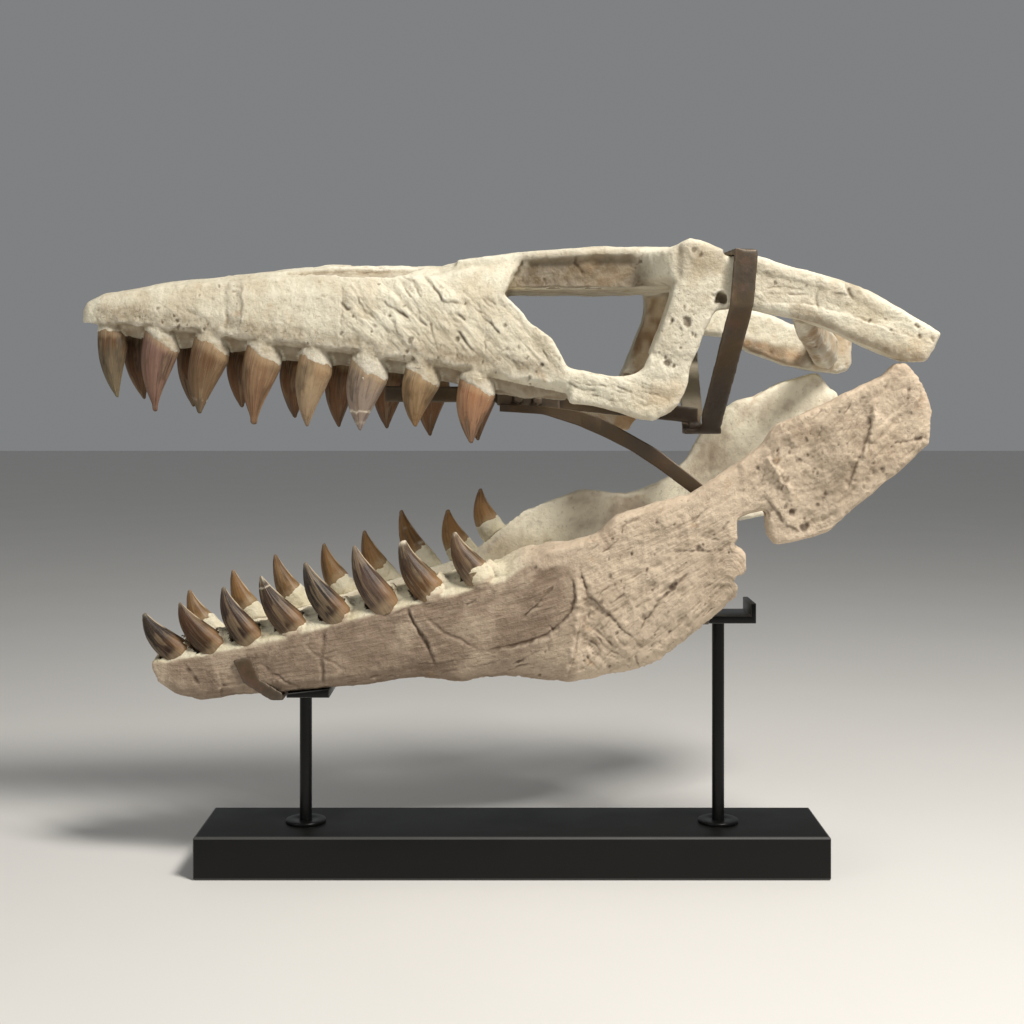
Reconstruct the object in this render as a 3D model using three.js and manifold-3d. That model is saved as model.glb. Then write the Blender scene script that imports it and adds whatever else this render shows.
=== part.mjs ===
// A fossil mosasaur skull with open jaws on its museum stand, life size.
// Units are millimetres. +Z is up, +X runs from the snout to the back of the skull, and -Y is the
// animal's left side. The origin is the middle of the underside of the stand's base.
import * as THREE from "three";
import { mergeVertices } from "three/addons/utils/BufferGeometryUtils.js";
import Module from "manifold-3d";

const wasm = await Module();
wasm.setup();

// ---------------------------------------------------------------- driving dimensions
const GAP = 0.3; // clearance between neighbouring pieces
const LEFT = -1;
const RIGHT = 1;
const SIDES = [
  ["left", LEFT],
  ["right", RIGHT],
];

const FACE_END = 60; // where the jugal takes over from the maxilla
const PREMAXILLA_END = -346; // middle of the slanting suture behind the first two teeth
const NASAL_DEPTH = 24;
const NARIS = { from: -205, to: -85, inner: 11, outer: 30, depth: 26 };
const FRONTAL = { from: -62, to: 178, half: 75, under: 657 };
const CHEEK_THICKNESS = 24; // jugal and the bar behind the eye
const POSTORBITAL_DEPTH = 52; // measured inwards from the cheek
const SQUAMOSAL_DEPTH = 38;
const POSTORBITAL_END = 226;

const DENTARY_END = 62;
const JAW_MARGIN_RISE = 11; // inner tooth margin above the outer one
const TOOTH_DEPTH_SHARE = 0.76; // a crown across the jaw, as a share of its width along it
const ROOT = 20; // buried root below each crown

const STRAP = { width: 25, thickness: 6, top: 687, bottom: 500, reach: 138, foot: 8 };
const SPINE_BAR = { from: -146, to: 213, depth: 18, width: 10 };

const BASE = { length: 708, depth: 124, height: 48, edge: 1.5 };
const ROD_RADIUS = 7;
const FRONT_ROD_X = -237;
const REAR_ROD_X = 237;
const FLANGE_RADIUS = 23;

// ---------------------------------------------------------------- finishes
const finish = (color, roughness, metalness = 0) =>
  new THREE.MeshStandardMaterial({ color, roughness, metalness });
const creamBone = finish("#d9d0b8", 0.85);
const greyBone = finish("#b3a48e", 0.9);
const rustyIron = finish("#4f3f33", 0.7, 0.7);
const blackSteel = finish("#1b1b1a", 0.45, 0.5);
const blackLacquer = finish("#171716", 0.4);

// ---------------------------------------------------------------- making shapes
// A quantity that changes along the skull, given at a few places and straight between them.
const along =
  (...points) =>
  (x) => {
    const after = points.findIndex(([at]) => at > x);
    if (after === 0) return points[0][1];
    if (after < 0) return points.at(-1)[1];
    const [x0, y0] = points[after - 1];
    const [x1, y1] = points[after];
    return y0 + ((y1 - y0) * (x - x0)) / (x1 - x0);
  };

// A geometry as a closed solid. Each vertex may first be moved; a mirrored one is turned outwards.
function solid(geometry, move = (x, y, z) => [x, y, z], mirror = false) {
  geometry.deleteAttribute("normal");
  geometry.deleteAttribute("uv");
  const merged = mergeVertices(geometry, 1e-3);
  const position = merged.attributes.position;
  for (let i = 0; i < position.count; i++) {
    position.setXYZ(i, ...move(position.getX(i), position.getY(i), position.getZ(i)));
  }
  const triVerts = new Uint32Array(merged.index.array);
  if (mirror) {
    for (let i = 0; i < triVerts.length; i += 3) {
      [triVerts[i + 1], triVerts[i + 2]] = [triVerts[i + 2], triVerts[i + 1]];
    }
  }
  return new wasm.Manifold(
    new wasm.Mesh({ numProp: 3, vertProperties: position.array, triVerts }),
  );
}

const outline = (points) => new THREE.Shape(points.map(([a, b]) => new THREE.Vector2(a, b)));

// A bone drawn out along X: one section is swept through the stations, and place says where
// its corners lie at each of them.
function drawn(section, stations, place, mirror = false) {
  const steps = stations.length - 1;
  const geometry = new THREE.ExtrudeGeometry(outline(section), {
    depth: steps,
    steps,
    bevelEnabled: false,
  });
  const move = (u, v, step) => {
    const x = stations[Math.round(step)];
    return [x, ...place(x, u, v)];
  };
  return solid(geometry, move, mirror);
}

// A flat bone or plate on one side of the skull, cut to its outline in X and Z, with rounded
// rims. Its outer face follows outer(x).
function plate(points, { side, outer, thickness, round = 6 }) {
  const geometry = new THREE.ExtrudeGeometry(outline(points), {
    depth: thickness - 2 * round,
    bevelThickness: round,
    bevelSize: round,
    bevelOffset: -round,
    bevelSegments: 2,
    steps: 1,
  });
  const move = (x, z, t) => [x, side * (outer(x) - thickness + round + t), z];
  return solid(geometry, move, side === RIGHT);
}

// A prism through the whole skull from side to side.
function through(points, from = -250, to = 250) {
  const geometry = new THREE.ExtrudeGeometry(outline(points), {
    depth: to - from,
    bevelEnabled: false,
  });
  return solid(geometry, (x, z, t) => [x, to - t, z]);
}

function box([x0, y0, z0], [x1, y1, z1]) {
  const geometry = new THREE.BoxGeometry(x1 - x0, y1 - y0, z1 - z0);
  return solid(geometry, (x, y, z) => [x + (x0 + x1) / 2, y + (y0 + y1) / 2, z + (z0 + z1) / 2]);
}

const join = (...solids) => solids.reduce((whole, next) => whole.add(next));

const skull = new THREE.Group();

function add(name, made, material) {
  const { numProp, vertProperties, triVerts } = made.getMesh();
  const points = [];
  for (let i = 0; i < vertProperties.length; i += numProp) {
    points.push(...vertProperties.subarray(i, i + 3));
  }
  const geometry = new THREE.BufferGeometry();
  geometry.setAttribute("position", new THREE.Float32BufferAttribute(points, 3));
  geometry.setIndex([...triVerts]);
  geometry.computeVertexNormals();
  const mesh = new THREE.Mesh(geometry, material);
  mesh.name = name;
  skull.add(mesh);
}

// ---------------------------------------------------------------- teeth
// A crown is a recurved cone, oval in section. It leans from base to tip and bows along the jaw,
// and its rings lie square to the lean by the share that RING_TILT gives.
const RING_TILT = 0.7;
const CROWN_SIDES = 8;
const CROWN_PROFILE = [
  [-ROOT / 70, 0.94],
  [0.05, 1],
  [0.3, 0.94],
  [0.52, 0.77],
  [0.76, 0.5],
  [0.92, 0.25],
  [1, 0.07],
];

function crown({ base, tip, width, bow }) {
  const circle = Array.from({ length: CROWN_SIDES }, (_, i) => {
    const angle = (2 * Math.PI * (i + 0.5)) / CROWN_SIDES;
    return [Math.cos(angle), Math.sin(angle)];
  });
  const upwards = tip[2] > base[2];
  const steps = CROWN_PROFILE.length - 1;
  const geometry = new THREE.ExtrudeGeometry(outline(circle), {
    depth: steps,
    steps,
    bevelEnabled: false,
  });
  const tilt = RING_TILT * Math.atan((tip[0] - base[0]) / (tip[2] - base[2]));
  const move = (u, v, step) => {
    const [share, size] = CROWN_PROFILE[Math.round(step)];
    const middle = base.map((b, i) => b + (tip[i] - b) * share);
    const swing = bow * Math.max(0, 4 * share * (1 - share));
    const radius = (width / 2) * size;
    return [
      middle[0] + swing + u * radius * Math.cos(tilt),
      middle[1] + v * radius * TOOTH_DEPTH_SHARE,
      middle[2] - u * radius * Math.sin(tilt),
    ];
  };
  return solid(geometry, move, !upwards);
}

// ---------------------------------------------------------------- the face
const faceHalf = along([-490, 16], [-484, 21], [-465, 28], [-440, 32], [200, 128], [450, 166]);
const faceTop = along(
  [-490, 637],
  [-484, 646],
  [-465, 655],
  [-400, 666],
  [-340, 672],
  [-260, 681],
  [-205, 685],
  [-80, 684],
  [-50, 692],
  [60, 705],
);
const lip = along([-490, 622], [-478, 618], [-425, 618], [-300, 601], [-190, 586], [-70, 569], [60, 541]);
const innerMargin = along(
  [-490, 623], [-430, 614], [-300, 589], [-190, 573], [-70, 553], [-15, 539], [60, 532],
);
const marginWidth = along([-440, 26], [-300, 36]);

// Corners of the face's section: u is a share of the half width and v of the height above the
// lip; v below zero is the tooth margin, which slopes down inwards.
const FACE_SECTION = [
  [1, 0.04],
  [1, 0.36],
  [0.95, 0.64],
  [0.79, 0.87],
  [0.45, 0.98],
  [0, 1.02],
  [-0.45, 0.98],
  [-0.79, 0.87],
  [-0.95, 0.64],
  [-1, 0.36],
  [-1, 0.04],
  [-1, -1],
  [1, -1],
];
const FACE_STATIONS = [-490, -484, -465, -430, -400, -340, -270, -205, -140, -80, -55, -15, 25, FACE_END];

function faceCorner(x, u, v) {
  const half = faceHalf(x);
  if (v < 0) return [u * Math.max(half - marginWidth(x), 3), innerMargin(x)];
  return [u * half, lip(x) + v * (faceTop(x) - lip(x))];
}

// The hollow palate between the tooth rows.
const vaultTop = along([-345, 604], [-250, 624], [-100, 634], [-40, 646], [60, 657]);
const VAULT_SECTION = [
  [1, 0],
  [0.86, 0.6],
  [0.55, 1],
  [-0.55, 1],
  [-0.86, 0.6],
  [-1, 0],
];
const VAULT_STATIONS = [-345, -300, -250, -100, -40, 20, FACE_END + 1];

function vaultCorner(x, u, v) {
  const half = faceHalf(x) - marginWidth(x);
  const floor = 500;
  return [u * half, v === 0 ? floor : innerMargin(x) + v * (vaultTop(x) - innerMargin(x))];
}

// The front rim of the eye opening, and all that lies behind and above it.
const ORBIT_FRONT = [
  [15, 720],
  [12, 690],
  [-9, 649],
  [8, 632],
  [20, 617],
  [31, 609],
  [42, 600],
  [51, 585],
  [FACE_END, 567],
  [FACE_END + 5, 567],
  [FACE_END + 5, 720],
];

// The roof slab between the eyes: a wide upper rim over side walls that are set back.
const ROOF_SECTION = [
  [0.9, 0],
  [0.9, 0.66],
  [1, 0.74],
  [0.98, 0.92],
  [0.6, 1],
  [-0.6, 1],
  [-0.98, 0.92],
  [-1, 0.74],
  [-0.9, 0.66],
  [-0.9, 0],
];
const roofTop = along([-62, 691], [9, 699], [60, 704], [178, 706]);

const SQUARE = [
  [1, -1],
  [1, 1],
  [-1, 1],
  [-1, -1],
];

function roofSlab(grow = 0) {
  const stations = [FRONTAL.from - grow, 9, 98, FRONTAL.to + grow];
  const halfAt = (x) => FRONTAL.half * along([-62, 0.72], [9, 0.97], [98, 1])(x) + grow;
  const slab = drawn(ROOF_SECTION, stations, (x, u, v) => [
    u * halfAt(x),
    FRONTAL.under + v * (roofTop(x) - FRONTAL.under) + (v < 0.8 ? -grow : grow),
  ]);
  return grow ? join(slab, clearAbove(stations, halfAt, roofTop)) : slab;
}

// The empty space above a piece that is let into the roof.
const clearAbove = (stations, halfAt, topAt) =>
  drawn(SQUARE, stations, (x, u, v) => [u * halfAt(x), v < 0 ? topAt(x) - 4 : 740]);

// The slim bar between the nostrils.
function nasalBar(grow = 0) {
  const stations = [PREMAXILLA_END + 20 - grow, NARIS.from, NARIS.to, FRONTAL.from - GAP];
  const halfAt = () => NARIS.inner - 1.5 + grow;
  const topAt = (x) => faceTop(x) + 2.5;
  const section = [
    [1, 0],
    [1, 0.8],
    [0.5, 1],
    [-0.5, 1],
    [-1, 0.8],
    [-1, 0],
  ];
  const bar = drawn(section, stations, (x, u, v) => [
    u * halfAt(),
    topAt(x) + grow + (v - 1) * (NASAL_DEPTH + 2 * grow),
  ]);
  return grow ? join(bar, clearAbove(stations, halfAt, topAt)) : bar;
}

const nostril = (side) =>
  solid(
    new THREE.ExtrudeGeometry(
      new THREE.Shape().absellipse(0, 0, 1, 1, 0, 2 * Math.PI),
      { depth: 1, bevelEnabled: false, curveSegments: 7 },
    ),
    (u, v, t) => {
      const x = (NARIS.from + NARIS.to) / 2 + (u * (NARIS.to - NARIS.from)) / 2;
      const width = NARIS.outer - NARIS.inner;
      const y = side * (NARIS.inner + width / 2) + v * (width / 2);
      return [x, y, faceTop(x) - NARIS.depth + t * 60];
    },
  );

// Where each crown's base stands, how far its tip leans, its length below the lip and its width.
const UPPER_CROWNS = {
  left: [
    { base: -455, lean: 5, length: 80, width: 34 },
    { base: -395, lean: -10, length: 92, width: 42 },
    { base: -335, lean: -18, length: 86, width: 44 },
    { base: -275, lean: -15, length: 90, width: 43 },
    { base: -215, lean: -14, length: 84, width: 40 },
    { base: -155, lean: -14, length: 80, width: 45 },
    { base: -95, lean: -12, length: 67, width: 42 },
    { base: -35, lean: -10, length: 74, width: 42 },
  ],
  right: [
    { base: -432, lean: 5, length: 82, width: 40 },
    { base: -367, lean: -5, length: 83, width: 42 },
    { base: -309, lean: -8, length: 76, width: 44 },
    { base: -248, lean: -8, length: 80, width: 44 },
    { base: -197, lean: -8, length: 84, width: 42 },
    { base: -141, lean: -8, length: 78, width: 42 },
    { base: -92, lean: -6, length: 80, width: 42 },
    { base: -35, lean: -6, length: 75, width: 42 },
  ],
};
const UPPER_BOW = -3;
const IN_PREMAXILLA = 2; // the first two crowns of each side

function upperCrown({ base: x, lean, length, width }, side) {
  const y = side * (faceHalf(x) - 16);
  const z = lip(x) - 2;
  return crown({ base: [x, y, z], tip: [x + lean, y, z - length], width, bow: UPPER_BOW });
}

// All that lies in front of the slanting suture behind the first two crowns. It runs further back
// on the right.
const RIGHT_SUTURE_SHIFT = 25;

function beforeSuture(shift) {
  const points = (start) => [
    [-600, 500],
    [start - 75, 500],
    [start + 41, 720],
    [-600, 720],
  ];
  const leftPart = through(points(PREMAXILLA_END + shift), -250, 0);
  const rightPart = through(points(PREMAXILLA_END + RIGHT_SUTURE_SHIFT + shift), 0, 250);
  return join(leftPart, rightPart);
}

// All that lies above the suture between the cheek plate and the prefrontal before the eye.
const abovePrefrontalSuture = (drop) =>
  through([
    [-84 - drop, 720],
    [-84 - drop, 690 - drop],
    [-20 - drop, 640 - drop],
    [36, 604 - 1.5 * drop],
    [200, 604 - 1.5 * drop],
    [200, 720],
  ]);

function buildFace() {
  const whole = drawn(FACE_SECTION, FACE_STATIONS, faceCorner);
  const vault = drawn(VAULT_SECTION, VAULT_STATIONS, vaultCorner);
  let bone = whole.subtract(vault).subtract(through(ORBIT_FRONT));
  bone = bone.subtract(roofSlab(GAP)).subtract(nasalBar(GAP));
  bone = bone.subtract(nostril(LEFT)).subtract(nostril(RIGHT));
  const teeth = (name, side, from, to) =>
    UPPER_CROWNS[name].slice(from, to).map((row) => upperCrown(row, side));
  const snout = bone.intersect(beforeSuture(0));
  const frontTeeth = [...teeth("left", LEFT, 0, IN_PREMAXILLA), ...teeth("right", RIGHT, 0, IN_PREMAXILLA)];
  add("premaxilla", join(snout, ...frontTeeth), creamBone);
  const cheeks = bone.subtract(beforeSuture(GAP));
  for (const [name, side] of SIDES) {
    const [y0, y1] = side === LEFT ? [-300, -GAP / 2] : [GAP / 2, 300];
    const half = cheeks.intersect(box([-600, y0, 0], [600, y1, 900]));
    const plateBone = half.subtract(abovePrefrontalSuture(GAP));
    add(`maxilla_${name}`, join(plateBone, ...teeth(name, side, IN_PREMAXILLA)), creamBone);
    add(`prefrontal_${name}`, half.intersect(abovePrefrontalSuture(0)), creamBone);
  }
  add("nasal_bar", nasalBar(), creamBone);
}

// ---------------------------------------------------------------- the roof and the eye region
function buildRoof() {
  const groove = box([14, -58, 640], [100, -46, FRONTAL.under + 7]);
  add("frontal", roofSlab().subtract(groove), creamBone);
  const parietalHalf = along([178, 72.5], [200, 75.5], [212, 54], [262, 38], [330, 30]);
  const parietalTop = along([178, 706], [196, 700], [208, 686.5], [262, 686.5], [330, 668]);
  const parietalFloor = along([178, 660], [262, 652], [330, 636]);
  const section = [
    [1, 0.2],
    [0.94, 0.8],
    [0.5, 1],
    [-0.5, 1],
    [-0.94, 0.8],
    [-1, 0.2],
    [-0.6, 0],
    [0.6, 0],
  ];
  const stations = [FRONTAL.to + GAP, 196, 208, 236, 264, 300, 318];
  const place = (x, u, v) => [
    u * parietalHalf(x),
    parietalFloor(x) + v * (parietalTop(x) - parietalFloor(x)),
  ];
  add("parietal", drawn(section, stations, place), creamBone);
}

// The cheek on the left: a bar under the eye that turns up behind it to the corner of the roof,
// and the bar that runs back from there.
const JUGAL_LEFT = [
  [FACE_END + GAP, 567],
  [85, 563],
  [105, 559],
  [120, 558],
  [132, 561],
  [142, 567],
  [148, 582],
  [191, 570],
  [186, 545],
  [180, 530],
  [170, 520],
  [152, 511],
  [136, 513],
  [115, 519],
  [85, 526],
  [FACE_END + GAP, 530],
];
const POSTORBITAL_LEFT = [
  [148.2, 582.4],
  [158, 608],
  [167, 634],
  [173, 655],
  [179, 664],
  [179, 702],
  [190, 706],
  [202, 704],
  [POSTORBITAL_END, 694],
  [POSTORBITAL_END, 631],
  [218, 629],
  [206, 606],
  [191.2, 570.3],
];
const SQUAMOSAL_LEFT = [
  [POSTORBITAL_END + GAP, 631],
  [255, 630],
  [292, 622],
  [315, 616],
  [347, 603],
  [371, 590],
  [400, 577],
  [412, 573],
  [433, 573],
  [442, 587],
  [449, 603],
  [426, 617],
  [408, 629],
  [388, 641],
  [368, 652],
  [347, 659],
  [318, 668],
  [290, 678],
  [262, 686.5],
  [POSTORBITAL_END + GAP, 686.5],
];
// On the right the same bones sit a little lower and further forward.
const JUGAL_RIGHT = [
  [FACE_END + GAP, 566],
  [85, 557],
  [105, 549],
  [118, 549],
  [128, 556],
  [132, 567],
  [176, 556],
  [170, 532],
  [163, 519],
  [150, 507],
  [142, 495],
  [127, 496],
  [105, 505],
  [85, 516],
  [FACE_END + GAP, 528],
];
const POSTORBITAL_RIGHT = [
  [132.1, 567.4],
  [139, 583],
  [148, 607],
  [157, 628],
  [160, 643],
  [159, 655],
  [168, 664],
  [179, 668],
  [179, 694],
  [194, 694],
  [205, 686.5],
  [POSTORBITAL_END, 680],
  [POSTORBITAL_END, 620],
  [205, 600],
  [188, 576],
  [176.2, 556.4],
];
const SQUAMOSAL_RIGHT = [
  [POSTORBITAL_END + GAP, 614],
  [262, 610],
  [290, 593],
  [336, 576],
  [374, 569],
  [404, 566],
  [414, 569],
  [420, 578],
  [420, 622],
  [403, 634],
  [380, 642],
  [366, 624],
  [350, 625],
  [320, 637],
  [297, 643],
  [262, 652],
  [POSTORBITAL_END + GAP, 661],
];
const CHEEKS = {
  left: [JUGAL_LEFT, POSTORBITAL_LEFT, SQUAMOSAL_LEFT],
  right: [JUGAL_RIGHT, POSTORBITAL_RIGHT, SQUAMOSAL_RIGHT],
};

function buildCheek(name, side) {
  const [jugal, postorbital, squamosal] = CHEEKS[name];
  const cut = { side, outer: faceHalf };
  add(`jugal_${name}`, plate(jugal, { ...cut, thickness: CHEEK_THICKNESS }), creamBone);
  const corner = plate(postorbital, { ...cut, thickness: POSTORBITAL_DEPTH, round: 7 });
  add(`postorbital_${name}`, corner.subtract(roofSlab(GAP)), creamBone);
  add(`squamosal_${name}`, plate(squamosal, { ...cut, thickness: SQUAMOSAL_DEPTH, round: 7 }), creamBone);
}

// The bar across the back of the skull, from the underside of the left squamosal down to the
// right one. Its places are given from the left end (-1) to the right end (1).
const occipitalSide = along([-1, -104.8], [1, 114.8]);

function buildOccipital() {
  const section = [
    [1, -0.5],
    [1, 0.6],
    [0.4, 1],
    [-0.6, 0.9],
    [-1, 0.2],
    [-0.7, -0.8],
    [0.3, -1],
  ];
  const steps = 6;
  const geometry = new THREE.ExtrudeGeometry(outline(section), {
    depth: steps,
    steps,
    bevelEnabled: false,
  });
  const middleX = along([-1, 312], [0, 340], [1, 384]);
  const middleZ = along([-1, 628], [0, 619], [1, 592]);
  const halfLength = along([-1, 12], [1, 17]);
  const halfHeight = along([-1, 14], [1, 22]);
  const move = (u, v, step) => {
    const share = (2 * step) / steps - 1;
    return [
      middleX(share) + u * halfLength(share),
      occipitalSide(share),
      middleZ(share) + v * halfHeight(share),
    ];
  };
  return solid(geometry, move, true);
}

// ---------------------------------------------------------------- the lower jaw
const jawHalf = along([-410, 20], [-396, 27], [-340, 36], [200, 128], [450, 171]);
const jawThickness = along([-410, 17], [-396, 23], [-330, 32], [-230, 40], [0, 40], [120, 30], [450, 26]);
const jawFloor = along(
  [-410, 226],
  [-402, 211],
  [-392, 203],
  [-378, 197],
  [-355, 191],
  [-305, 199],
  [-220, 209],
  [-170, 214],
  [-85, 228],
  [-57, 221],
  [-15, 229],
  [65, 225],
  [137, 242],
  [167, 256],
  [200, 285],
  [243, 325],
);
const jawTopLeft = along(
  [-410, 238],
  [-350, 249],
  [-255, 270],
  [-155, 300],
  [-45, 329],
  [-8, 340],
  [14, 356],
  [36, 371],
  [75, 380],
  [95, 389],
  [111, 407],
  [158, 424],
  [190, 430],
  [240, 464],
);
const jawTopRight = along(
  [-410, 238],
  [-350, 257],
  [-255, 280],
  [-155, 309],
  [-45, 341],
  [-14, 372],
  [4, 384],
  [20, 400],
  [53, 411],
  [67, 421],
  [84, 425],
  [143, 419],
  [170, 428],
  [193, 440],
  [214, 462],
  [240, 508],
);

// The section of a ramus: u runs from its inner face (-1) to its outer face (1) and v from its
// lower edge to its upper edge; v above 1 is the inner tooth margin.
const RAMUS_SECTION = [
  [1, 0.22],
  [1, 0.7],
  [0.8, 0.97],
  [0.3, 1],
  [-0.9, 1.2],
  [-1, 0.8],
  [-1, 0.3],
  [-0.6, 0.05],
  [0.1, 0],
  [0.7, 0.07],
];

function ramus(side, stations) {
  const top = side === LEFT ? jawTopLeft : jawTopRight;
  const rise = along([-410, 3], [-370, JAW_MARGIN_RISE], [0, JAW_MARGIN_RISE], [60, 0]);
  const place = (x, u, v) => {
    const thickness = jawThickness(x);
    const y = jawHalf(x) - thickness / 2 + (u * thickness) / 2;
    const height = top(x) - jawFloor(x);
    const z = v > 1 ? top(x) + rise(x) : jawFloor(x) + v * height;
    return [side * y, z];
  };
  return drawn(RAMUS_SECTION, stations, place, side === LEFT);
}

const RAMUS_STATIONS = [
  -410, -402, -385, -355, -305, -255, -200, -155, -100, -57, -30, -8, 14, 36, 62, 84, 95, 111, 137,
  158, 190, 214, 240,
];

// Where each crown's tip and base stand, how high it reaches above the jaw's edge, and its width.
const LOWER_CROWNS = {
  left: [
    { tip: -420, base: -380, height: 45, width: 34 },
    { tip: -378, base: -338, height: 50, width: 34 },
    { tip: -327, base: -294, height: 59, width: 34 },
    { tip: -283, base: -242, height: 60, width: 36 },
    { tip: -232, base: -192, height: 61, width: 36 },
    { tip: -176, base: -140, height: 66, width: 36 },
    { tip: -122, base: -87, height: 58, width: 38 },
    { tip: -64, base: -31, height: 53, width: 36 },
  ],
  right: [
    { tip: -375, base: -344, height: 53, width: 32 },
    { tip: -326, base: -293, height: 63, width: 33 },
    { tip: -278, base: -242, height: 67, width: 34 },
    { tip: -222, base: -190, height: 64, width: 34 },
    { tip: -175, base: -143, height: 65, width: 34 },
    { tip: -132, base: -96, height: 75, width: 35 },
    { tip: -77, base: -51, height: 62, width: 38 },
    { tip: -38, base: -18, height: 58, width: 34 },
  ],
};

const LOWER_BOW = -9;

function lowerCrown({ tip, base: x, height, width }, side) {
  const top = side === LEFT ? jawTopLeft : jawTopRight;
  const y = side * (jawHalf(x) - 16);
  const z = top(x) + 1;
  return crown({ base: [x, y, z], tip: [tip, y * 0.97, z + height], width, bow: LOWER_BOW });
}

// The broken plate behind the jaw joint.
const ARTICULAR_LEFT = [
  [240.4, 406],
  [252, 412],
  [269, 416],
  [271, 390],
  [279, 379],
  [300, 383],
  [334, 394],
  [350, 411],
  [387, 443],
  [417, 470],
  [434, 488],
  [437, 520],
  [432, 540],
  [417, 567],
  [410, 572],
  [402, 570],
  [390, 558],
  [366, 547],
  [338, 532],
  [303, 515],
  [280, 506],
  [266, 485],
  [240.4, 464],
];
const ARTICULAR_RIGHT = [
  [240.4, 405],
  [267, 415],
  [278, 384],
  [324, 393],
  [371, 432],
  [404, 470],
  [412, 520],
  [404, 541],
  [392, 551],
  [385, 562],
  [378, 567],
  [364, 564],
  [334, 555],
  [297, 537],
  [273, 531],
  [240.4, 509],
];

// What lies behind the suture between the tooth-bearing bone and the rear of the jaw.
const behindDentary = (shift) =>
  through([
    [DENTARY_END - 3 + shift, 200],
    [300, 200],
    [300, 600],
    [DENTARY_END + 37 + shift, 600],
  ]);

// A broken stump of bone on the rear end of the left surangular.
const KNOB = [
  [230, 343],
  [243, 344],
  [250, 353],
  [249, 370],
  [242, 379],
  [230, 378],
];

function buildJaw(name, side) {
  const bone = ramus(side, RAMUS_STATIONS);
  const teeth = LOWER_CROWNS[name].map((row) => lowerCrown(row, side));
  add(`dentary_${name}`, join(bone.subtract(behindDentary(0)), ...teeth), greyBone);
  const rear = bone.intersect(behindDentary(GAP));
  const knob = plate(KNOB, { side, outer: (x) => jawHalf(x) - 4, thickness: 16, round: 3 });
  add(`surangular_${name}`, side === LEFT ? join(rear, knob) : rear, greyBone);
  const points = side === LEFT ? ARTICULAR_LEFT : ARTICULAR_RIGHT;
  add(`articular_${name}`, plate(points, { side, outer: jawHalf, thickness: 28, round: 5 }), greyBone);
}

// ---------------------------------------------------------------- the stand
function cylinder(radius, x, z0, z1, sides = 24) {
  const geometry = new THREE.CylinderGeometry(radius, radius, z1 - z0, sides);
  return solid(geometry, (a, b, c) => [x + a, -c, b + (z0 + z1) / 2]);
}

function buildStand() {
  const { length, depth, height, edge } = BASE;
  const footprint = outline([
    [-length / 2, -depth / 2],
    [length / 2, -depth / 2],
    [length / 2, depth / 2],
    [-length / 2, depth / 2],
  ]);
  const geometry = new THREE.ExtrudeGeometry(footprint, {
    depth: height - 2 * edge,
    bevelThickness: edge,
    bevelSize: edge,
    bevelOffset: -edge,
    bevelSegments: 1,
  });
  add("stand_base", solid(geometry, (x, y, z) => [x, y, z + edge]), blackLacquer);
  const frontTop = 200;
  const rearTop = 280;
  for (const [name, x, top] of [
    ["front", FRONT_ROD_X, frontTop],
    ["rear", REAR_ROD_X, rearTop],
  ]) {
    const flange = cylinder(FLANGE_RADIUS, x, height + GAP, height + 4, 32);
    const bore = cylinder(ROD_RADIUS + GAP, x, height, height + 5);
    add(`stand_flange_${name}`, flange.subtract(bore), blackSteel);
    add(`stand_rod_${name}`, cylinder(ROD_RADIUS, x, height + GAP, top), blackSteel);
  }
  const frontPlate = through(
    [
      [-252, frontTop + GAP],
      [-204, frontTop + GAP],
      [-204, jawFloor(-204) - GAP],
      [-252, jawFloor(-252) - GAP],
    ],
    -50,
    50,
  );
  add("stand_cradle_front", frontPlate, blackSteel);
  const rearPlate = through(
    [
      [190, rearTop + GAP],
      [276, rearTop + GAP],
      [276, 303],
      [270, 303],
      [270, 289],
      [190, 289],
    ],
    -30,
    30,
  );
  add("stand_cradle_rear", rearPlate, blackSteel);
}

// ---------------------------------------------------------------- the iron armature
// A flat strap loops over the roof, its legs meet below the skull, and a bar runs forward from
// there under the palate. A curved bar ties it to the left jaw.
function strapLeg(side, shoulder, startX) {
  const { width, thickness, top, reach, foot, bottom } = STRAP;
  const points = [
    [reach + thickness, top - GAP],
    [reach, top - GAP],
    [reach, shoulder],
    [foot, bottom + GAP],
    [foot + thickness, bottom + GAP],
    [reach + thickness, shoulder - 2],
  ];
  const geometry = new THREE.ExtrudeGeometry(outline(points), { depth: width, bevelEnabled: false });
  return solid(geometry, (y, z, t) => [startX(z) + t, side * y, z], side === LEFT);
}

function flatAcross(points, from, to) {
  const geometry = new THREE.ExtrudeGeometry(outline(points), { depth: to - from, bevelEnabled: false });
  return solid(geometry, (x, y, t) => [x, y, from + t]);
}

const spineMiddle = along([-146, 540], [-14, 539], [213, 515]);
const curvedTop = along(
  [-14, 528], [35, 526], [75, 521], [100, 513], [130, 496], [160, 479], [205, 443], [224, 424],
);
const curvedBottom = along(
  [-14, 520], [35, 517], [75, 504], [100, 493], [130, 478], [160, 458], [200, 428], [224, 408],
);
const curvedSide = along([-14, -17], [180, -86], [212, -98], [224, -100]);

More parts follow.
